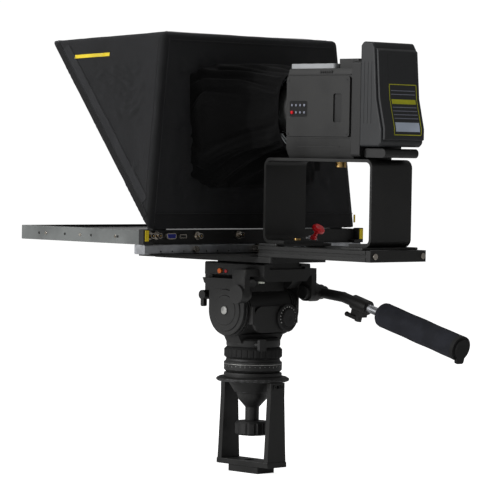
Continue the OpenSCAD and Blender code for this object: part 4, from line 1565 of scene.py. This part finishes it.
    def sleeve_point(self, turn: float, t: float) -> Vector:
        """A point of the sleeve.

        Args:
            turn: angle round it.
            t: 0 at the hood, 1 at the lens.

        Returns:
            The point in metres.
        """
        rings = self.sleeve_rings
        place = t * (len(rings) - 1)
        k = min(int(place), len(rings) - 2)
        f = place - k
        y, half, low, high = [a + (b - a) * f for a, b in zip(rings[k], rings[k + 1])]
        power = 0.42 + 0.25 * t
        c, s_ = math.cos(turn), math.sin(turn)
        square = max(0.0, 1 - t * 6)
        square = square * square * (3 - 2 * square)
        reach = max(abs(c), abs(s_))
        wide = c / reach * square + math.copysign(abs(c) ** power, c) * (1 - square)
        tall = s_ / reach * square + math.copysign(abs(s_) ** power, s_) * (1 - square)
        middle = (low + high) / 2
        x = half * wide
        z = middle + (high - low) / 2 * tall
        cut = 1 + (self.corner_pull(x, z - middle, half, (high - low) / 2) - 1) * square
        x, z = x * cut, middle + (z - middle) * cut
        sewn = max(0.0, 1 - place)
        foot, normal = Panel.REAR.corners()[0], Panel.REAR.normal()
        flat = foot.y - (normal.x * (x * MM - foot.x) + normal.z * (z * MM - foot.z)) / normal.y
        cloth = self.hang(Panel.REAR, Vector((x * MM, flat, z * MM)), 0.6).y / MM
        y = y * (1 - sewn) + cloth * sewn
        drift = 1.6 * noise.noise(Vector((c * 1.4, s_ * 1.4, t * 2.2)))
        fold = math.sin(turn * 13 + drift * 3.2) * 5.4 + math.sin(turn * 37 + drift * 4) * 1.5
        swell = max(0.0, math.sin(min(1.0, t * 1.08) * math.pi)) ** 0.7
        pull = 1 - (fold * swell + 2.4 * swell) / 100.0
        return Vector((x * pull, y + 1.2 * swell * drift, middle + (z - middle) * pull)) * MM


@dataclass
class Riser(SubAssembly):
    """The bent bridge that carries the camera."""

    slide_gap: float = 0.1

    def build(self) -> None:
        """Make the riser."""
        shoes = self.refined("rail_shoes", Slot.BLACK_METAL, 0.8)
        sole = min(vertex.co.z for vertex in shoes.data.vertices)
        for vertex in shoes.data.vertices:
            vertex.co.z = max(vertex.co.z, sole + self.slide_gap * MM)
        self.refined("riser_bridge", Slot.BLACK_METAL, 1.0, 3)
        self.refined("riser_screws", Slot.BRASS, 0.4)


@dataclass
class Camera(SubAssembly):
    """The cinema camera on the riser."""

    def build(self) -> None:
        """Make the camera."""
        self.refined("camera_body", Slot.CAMERA_PAINT, 1.2, 3)
        self.refined("side_panel", Slot.CAMERA_PAINT, 0.8)
        self.refined("camera_keypad", Slot.RUBBER_BLACK, 0.3)
        self.refined("record_key", Slot.RED_PLASTIC, 0.5)
        self.refined("camera_top", Extra.TOP_SILVER, 0.8)
        self.refined("camera_grip", Slot.GRIP_GREY, 1.5, 3)
        self.refined("grip_dial", Slot.BLACK_PLASTIC, 1.0, 3)
        self.refined("camera_sockets", Slot.BRASS, 0.4)
        self.refined("lens", Slot.BLACK_METAL, 0.8)
        self.keys()
        self.top_fittings()
        self.panel_lines()
        self.socket_cores()
        self.lens_details()

    def keys(self) -> None:
        """Small pale keys in two rows beside the red one."""
        keys = []
        key = spun("key", [(0, 0), (2.1, 0), (2.1, 0.7), (1.7, 1.1), (0, 1.2)], (0, 0, 0),
                   (1, 0, 0), 20)
        for i in range(4):
            for j in range(2):
                if i + 4 * j:
                    keys.append(twin(key, "key", Matrix.Translation(
                        Vector((52.4, 137 + i * 9.6, 617 + j * 12)) * MM)))
        bpy.data.objects.remove(key)
        self.piece(joined("keypad_keys", keys), Extra.LABEL_GREY, "riser")

    def top_fittings(self) -> None:
        """Knurled screws and a ribbed inset on the silver top plate."""
        parts = []
        for y in (140, 172, 204):
            parts.append(spun("screw", [(0, 0), (5.6, 0), (5.6, 3.4), (5.0, 4.2), (2.4, 4.2),
                                        (2.2, 2.6), (0, 2.6)], (28, y, 695.2), (0, 0, 1), 28))
        for k in range(7):
            parts.append(block("rib", (-22, 140 + k * 10, 694), (2, 143 + k * 10, 696.6)))
        for y in (140, 172, 204):
            parts.append(rod("disc", (40.6, y, 694), (41.6, y, 694), 2.6, 20))
        whole = soften(joined("top_fittings", parts), 0.3)
        self.piece(whole, Slot.BLACK_METAL, "riser")

    def panel_lines(self) -> None:
        """Raised seams and small screws on the key side and the lower body."""
        seams = [block("seam", (49.9, 124, 574.6), (51.0, 268, 576.0)),
                 block("seam", (47.8, 124, 679), (48.8, 268, 680.4)),
                 block("rib", (49.6, 150, 560), (50.8, 246, 561.2))]
        for k in range(6):
            seams.append(block("vent", (47.8, 196 + k * 5, 682), (48.5, 198.4 + k * 5, 687)))
        for y, z in ((128, 582), (264, 582), (128, 671), (264, 671)):
            seams.append(self.screw("screw", (51.9, y, z), (1, 0, 0), 2.1, 0.7))
        self.piece(soften(joined("panel_seams", seams), 0.2), Slot.CAMERA_PAINT, "riser")

    def socket_cores(self) -> None:
        """Painted shade: dark cores in the side sockets and a dark sheet in the side slot."""
        cores = [rod("core", (-78.2, 256, z), (-77.6, 256, z), 3.3, 20) for z in (616, 642, 666)]
        self.piece(joined("side_socket_core_shade", cores), Extra.PORT_BLACK, "riser")
        slot = soften(block("slot", (49.05, 232.5, 601.5), (49.4, 250.5, 647.5)), 0.1)
        self.piece(joined("side_slot_shade", [slot]), Extra.PORT_BLACK, "riser")

    def lens_details(self) -> None:
        """Focus and iris ribs round the lens barrel, and its front glass."""
        rib = block("rib", (-1.0, 71.5, 37.6), (1.0, 90.5, 38.9))
        ribs = []
        axis = Matrix.Translation(Vector((0, 0, 622)) * MM)
        for turn in round_turns(9, 40):
            ribs.append(twin(rib, "rib", axis @ Matrix.Rotation(turn, 4, "Y")))
        bpy.data.objects.remove(rib)
        self.piece(soften(joined("lens_ribs", ribs), 0.3), Slot.RUBBER_BLACK, "riser")
        front = spun("lens_front_made", [(0, -2.2), (14, -1.6), (24, 0.2), (31.6, 3.4), (31.6, 4.4),
                                         (0, 4.4)], (0, 26.6, 622), (0, 1, 0), 48)
        self.piece(soften(joined("lens_front_made", [front]), 0.0, smooth=50), Extra.LENS_GLASS,
                   "riser")


@dataclass
class Battery(SubAssembly):
    """The wedge-plate battery on the camera's back, with a plain printed label."""

    profile: tuple[tuple[float, float], ...] = (
        (574.0, 347.0), (592.0, 347.0), (641.0, 335.0), (718.0, 329.0))

    def build(self) -> None:
        """Make the battery."""
        self.refined("battery_plate", Slot.BLACK_PLASTIC, 1.0, 3)
        self.refined("battery_case", Slot.BATTERY_PLASTIC, 3.2, 4)
        self.refined("battery_cover", Slot.BATTERY_PLASTIC, 1.0, 3)
        self.refined("battery_release", Slot.GRIP_GREY, 0.8)
        self.label()
        self.mouldings()

    def skin(self, z: float) -> float:
        """How far out the cover's skin stands at a height, in millimetres."""
        for (z0, y0), (z1, y1) in zip(self.profile, self.profile[1:]):
            if z <= z1:
                return y0 + (y1 - y0) * max(0.0, z - z0) / (z1 - z0)
        return self.profile[-1][1]

    def patch(self, name: str, left: float, low: float, right: float, high: float,
              lift: float = 0.12) -> bpy.types.Object:
        """A thin printed patch that follows the cover.

        Args:
            name: the patch's name.
            left: lowest X in millimetres.
            low: lowest height.
            right: highest X.
            high: highest height.
            lift: how far it stands off the skin.

        Returns:
            The patch, a closed solid.
        """
        bpy.ops.object.select_all(action="DESELECT")
        rows = max(2, int((high - low) / 3))
        bpy.ops.mesh.primitive_grid_add(x_subdivisions=2, y_subdivisions=rows, size=2)
        made = bpy.context.object
        made.name = name
        for vertex in made.data.vertices:
            x = left + (vertex.co.x + 1) / 2 * (right - left)
            z = low + (vertex.co.y + 1) / 2 * (high - low)
            vertex.co = Vector((x, self.skin(z) + lift, z)) * MM
        made.data.update()
        if made.data.polygons[0].normal.y < 0:
            made.data.flip_normals()
        return modify(made, "SOLIDIFY", thickness=0.15 * MM, offset=1, use_rim=True)

    def label(self) -> None:
        """A plain rectangle, a bar, even ruled lines and a pale box."""
        left, right, low, high, edge = -38.0, 27.3, 581.0, 664.3, 1.3
        yellow = [self.patch("rule", left, low, left + edge, high),
                  self.patch("rule", right - edge, low, right, high),
                  self.patch("rule", left, low, right, low + edge),
                  self.patch("rule", left, high - edge, right, high),
                  self.patch("bar", -34, 632, 23, 639.5)]
        self.piece(joined("battery_label_yellow", yellow), Extra.LABEL_YELLOW, "battery")
        grey = [self.patch("line", -34, z, 23, z + 1.2) for z in (653, 647, 626, 620, 614, 608)]
        self.piece(joined("battery_label_lines", grey), Extra.LABEL_GREY, "battery")
        self.piece(joined("battery_label_box", [self.patch("box", -34, 587, 23, 602)]),
                   Extra.LABEL_WHITE, "battery")

    def mouldings(self) -> None:
        """Raised ribs round the panel above the label and a shallow frame on the sides."""
        ribs = [self.patch("rib", *corners, 0.0) for corners in (
            (-37, 676, 28, 677.6), (-37, 712, 28, 713.6),
            (-37, 676, -35.4, 713), (26.4, 676, 28, 713))]
        for k in range(4):
            ribs.append(self.patch("rib", -24, 683 + k * 6, 15, 684.6 + k * 6, 0.0))
        for side in (-48.0, 52.0):
            out = math.copysign(0.5, side)
            for y in (300, 308, 316):
                a, b = sorted((side, side + out))
                ribs.append(block("rib", (a, y, 600), (b, y + 2, 700)))
        whole = soften(joined("battery_mouldings", ribs), 0.15)
        self.piece(whole, Slot.BATTERY_PLASTIC, "battery")


# ---------------------------------------------------------------- studio


@dataclass
class Studio:
    """The pale floor, the soft lights and the camera."""

    azimuth: float = 136.0
    elevation: float = 2.0
    roll: float = 1.0
    distance: float = 4.954
    lens: float = 207.4
    pivot_height: float = 0.165

    def build(self) -> None:
        """Make the studio."""
        self.floor()
        self.world()
        self.lights()
        self.camera()

    def floor(self) -> None:
        """A wide plain floor under the stand."""
        bpy.ops.object.select_all(action="DESELECT")
        bpy.ops.mesh.primitive_plane_add(size=60, location=(0, 0, 0))
        ground = bpy.context.object
        ground.name = "studio_floor"
        paint = bpy.data.materials.new("studio_floor")
        paint.use_nodes = True
        shader = paint.node_tree.nodes["Principled BSDF"]
        shader.inputs["Base Color"].default_value = (0.9, 0.9, 0.9, 1)
        shader.inputs["Roughness"].default_value = 0.9
        shader.inputs["Specular IOR Level"].default_value = 0.1
        shader.inputs["Emission Color"].default_value = (1, 1, 1, 1)
        sheet = Sheet(paint.node_tree)
        seen = sheet.add("ShaderNodeLightPath").outputs["Is Camera Ray"]
        sheet.feed(shader, "Emission Strength", sheet.math("MULTIPLY", seen, 0.9))
        ground.data.materials.append(paint)

    def world(self) -> None:
        """An even white surround."""
        world = bpy.data.worlds.new("studio")
        bpy.context.scene.world = world
        world.use_nodes = True
        back = world.node_tree.nodes["Background"]
        back.inputs["Color"].default_value = (1, 1, 1, 1)
        sheet = Sheet(world.node_tree)
        seen = sheet.add("ShaderNodeLightPath").outputs["Is Camera Ray"]
        level = sheet.math("ADD", sheet.math("MULTIPLY", seen, 0.86), 0.18)
        sheet.feed(back, "Strength", level)

    def lights(self) -> None:
        """A large soft key from the key panel's side, a top light and a faint fill."""
        for name, place, size, power in (
                ("key", (3.6, -1.2, 1.8), 1.8, 118.0),
                ("top", (0.0, 0.2, 3.2), 2.6, 30.0),
                ("fill", (-2.2, 3.6, 1.6), 1.6, 2.5)):
            data = bpy.data.lights.new(name, "AREA")
            data.size = size
            data.energy = power
            lamp = bpy.data.objects.new(name, data)
            bpy.context.scene.collection.objects.link(lamp)
            lamp.location = place
            aim = Vector((0, 0, 0.45)) - Vector(place)
            lamp.rotation_euler = aim.to_track_quat("-Z", "Y").to_euler()

    def camera(self) -> None:
        """The camera at the operator's rear left, slightly above the bowl."""
        a, e = math.radians(self.azimuth), math.radians(self.elevation)
        back = Vector((math.sin(a) * math.cos(e), -math.cos(a) * math.cos(e), math.sin(e)))
        right = Vector((0, 0, 1)).cross(back).normalized()
        up = back.cross(right)
        c, s = math.cos(math.radians(self.roll)), math.sin(math.radians(self.roll))
        tilted_right, tilted_up = c * right + s * up, -s * right + c * up
        pivot = Vector((0, 0, self.pivot_height))
        eye = pivot + self.distance * back - 0.014 * tilted_right + 0.209 * tilted_up
        target = pivot - 0.0047 * tilted_right + 0.2167 * tilted_up
        look = (eye - target).normalized()
        side = tilted_up.cross(look).normalized()
        data = bpy.data.cameras.new("studio_camera")
        data.lens = self.lens
        data.sensor_width = 36
        data.clip_start, data.clip_end = 0.1, 100
        camera = bpy.data.objects.new("studio_camera", data)
        bpy.context.scene.collection.objects.link(camera)
        turn = Matrix((side, look.cross(side), look)).transposed().to_4x4()
        camera.matrix_world = Matrix.Translation(eye) @ turn
        bpy.context.scene.camera = camera
        bpy.context.scene.view_settings.view_transform = "Standard"


def main() -> None:
    """Build every sub-assembly in order and report each piece."""
    logging.basicConfig(level=logging.INFO, format="%(name)s %(message)s")
    paints = Paintbox()
    Studio().build()
    for kind in (BowlStand, PanUnit, TiltUnit, PanBar, Base, Monitor, Hood, Riser, Camera,
                 Battery):
        part = kind(paints)
        part.build()
        LOG.info("%s done", kind.__name__)


if __name__ == "__main__":
    main()
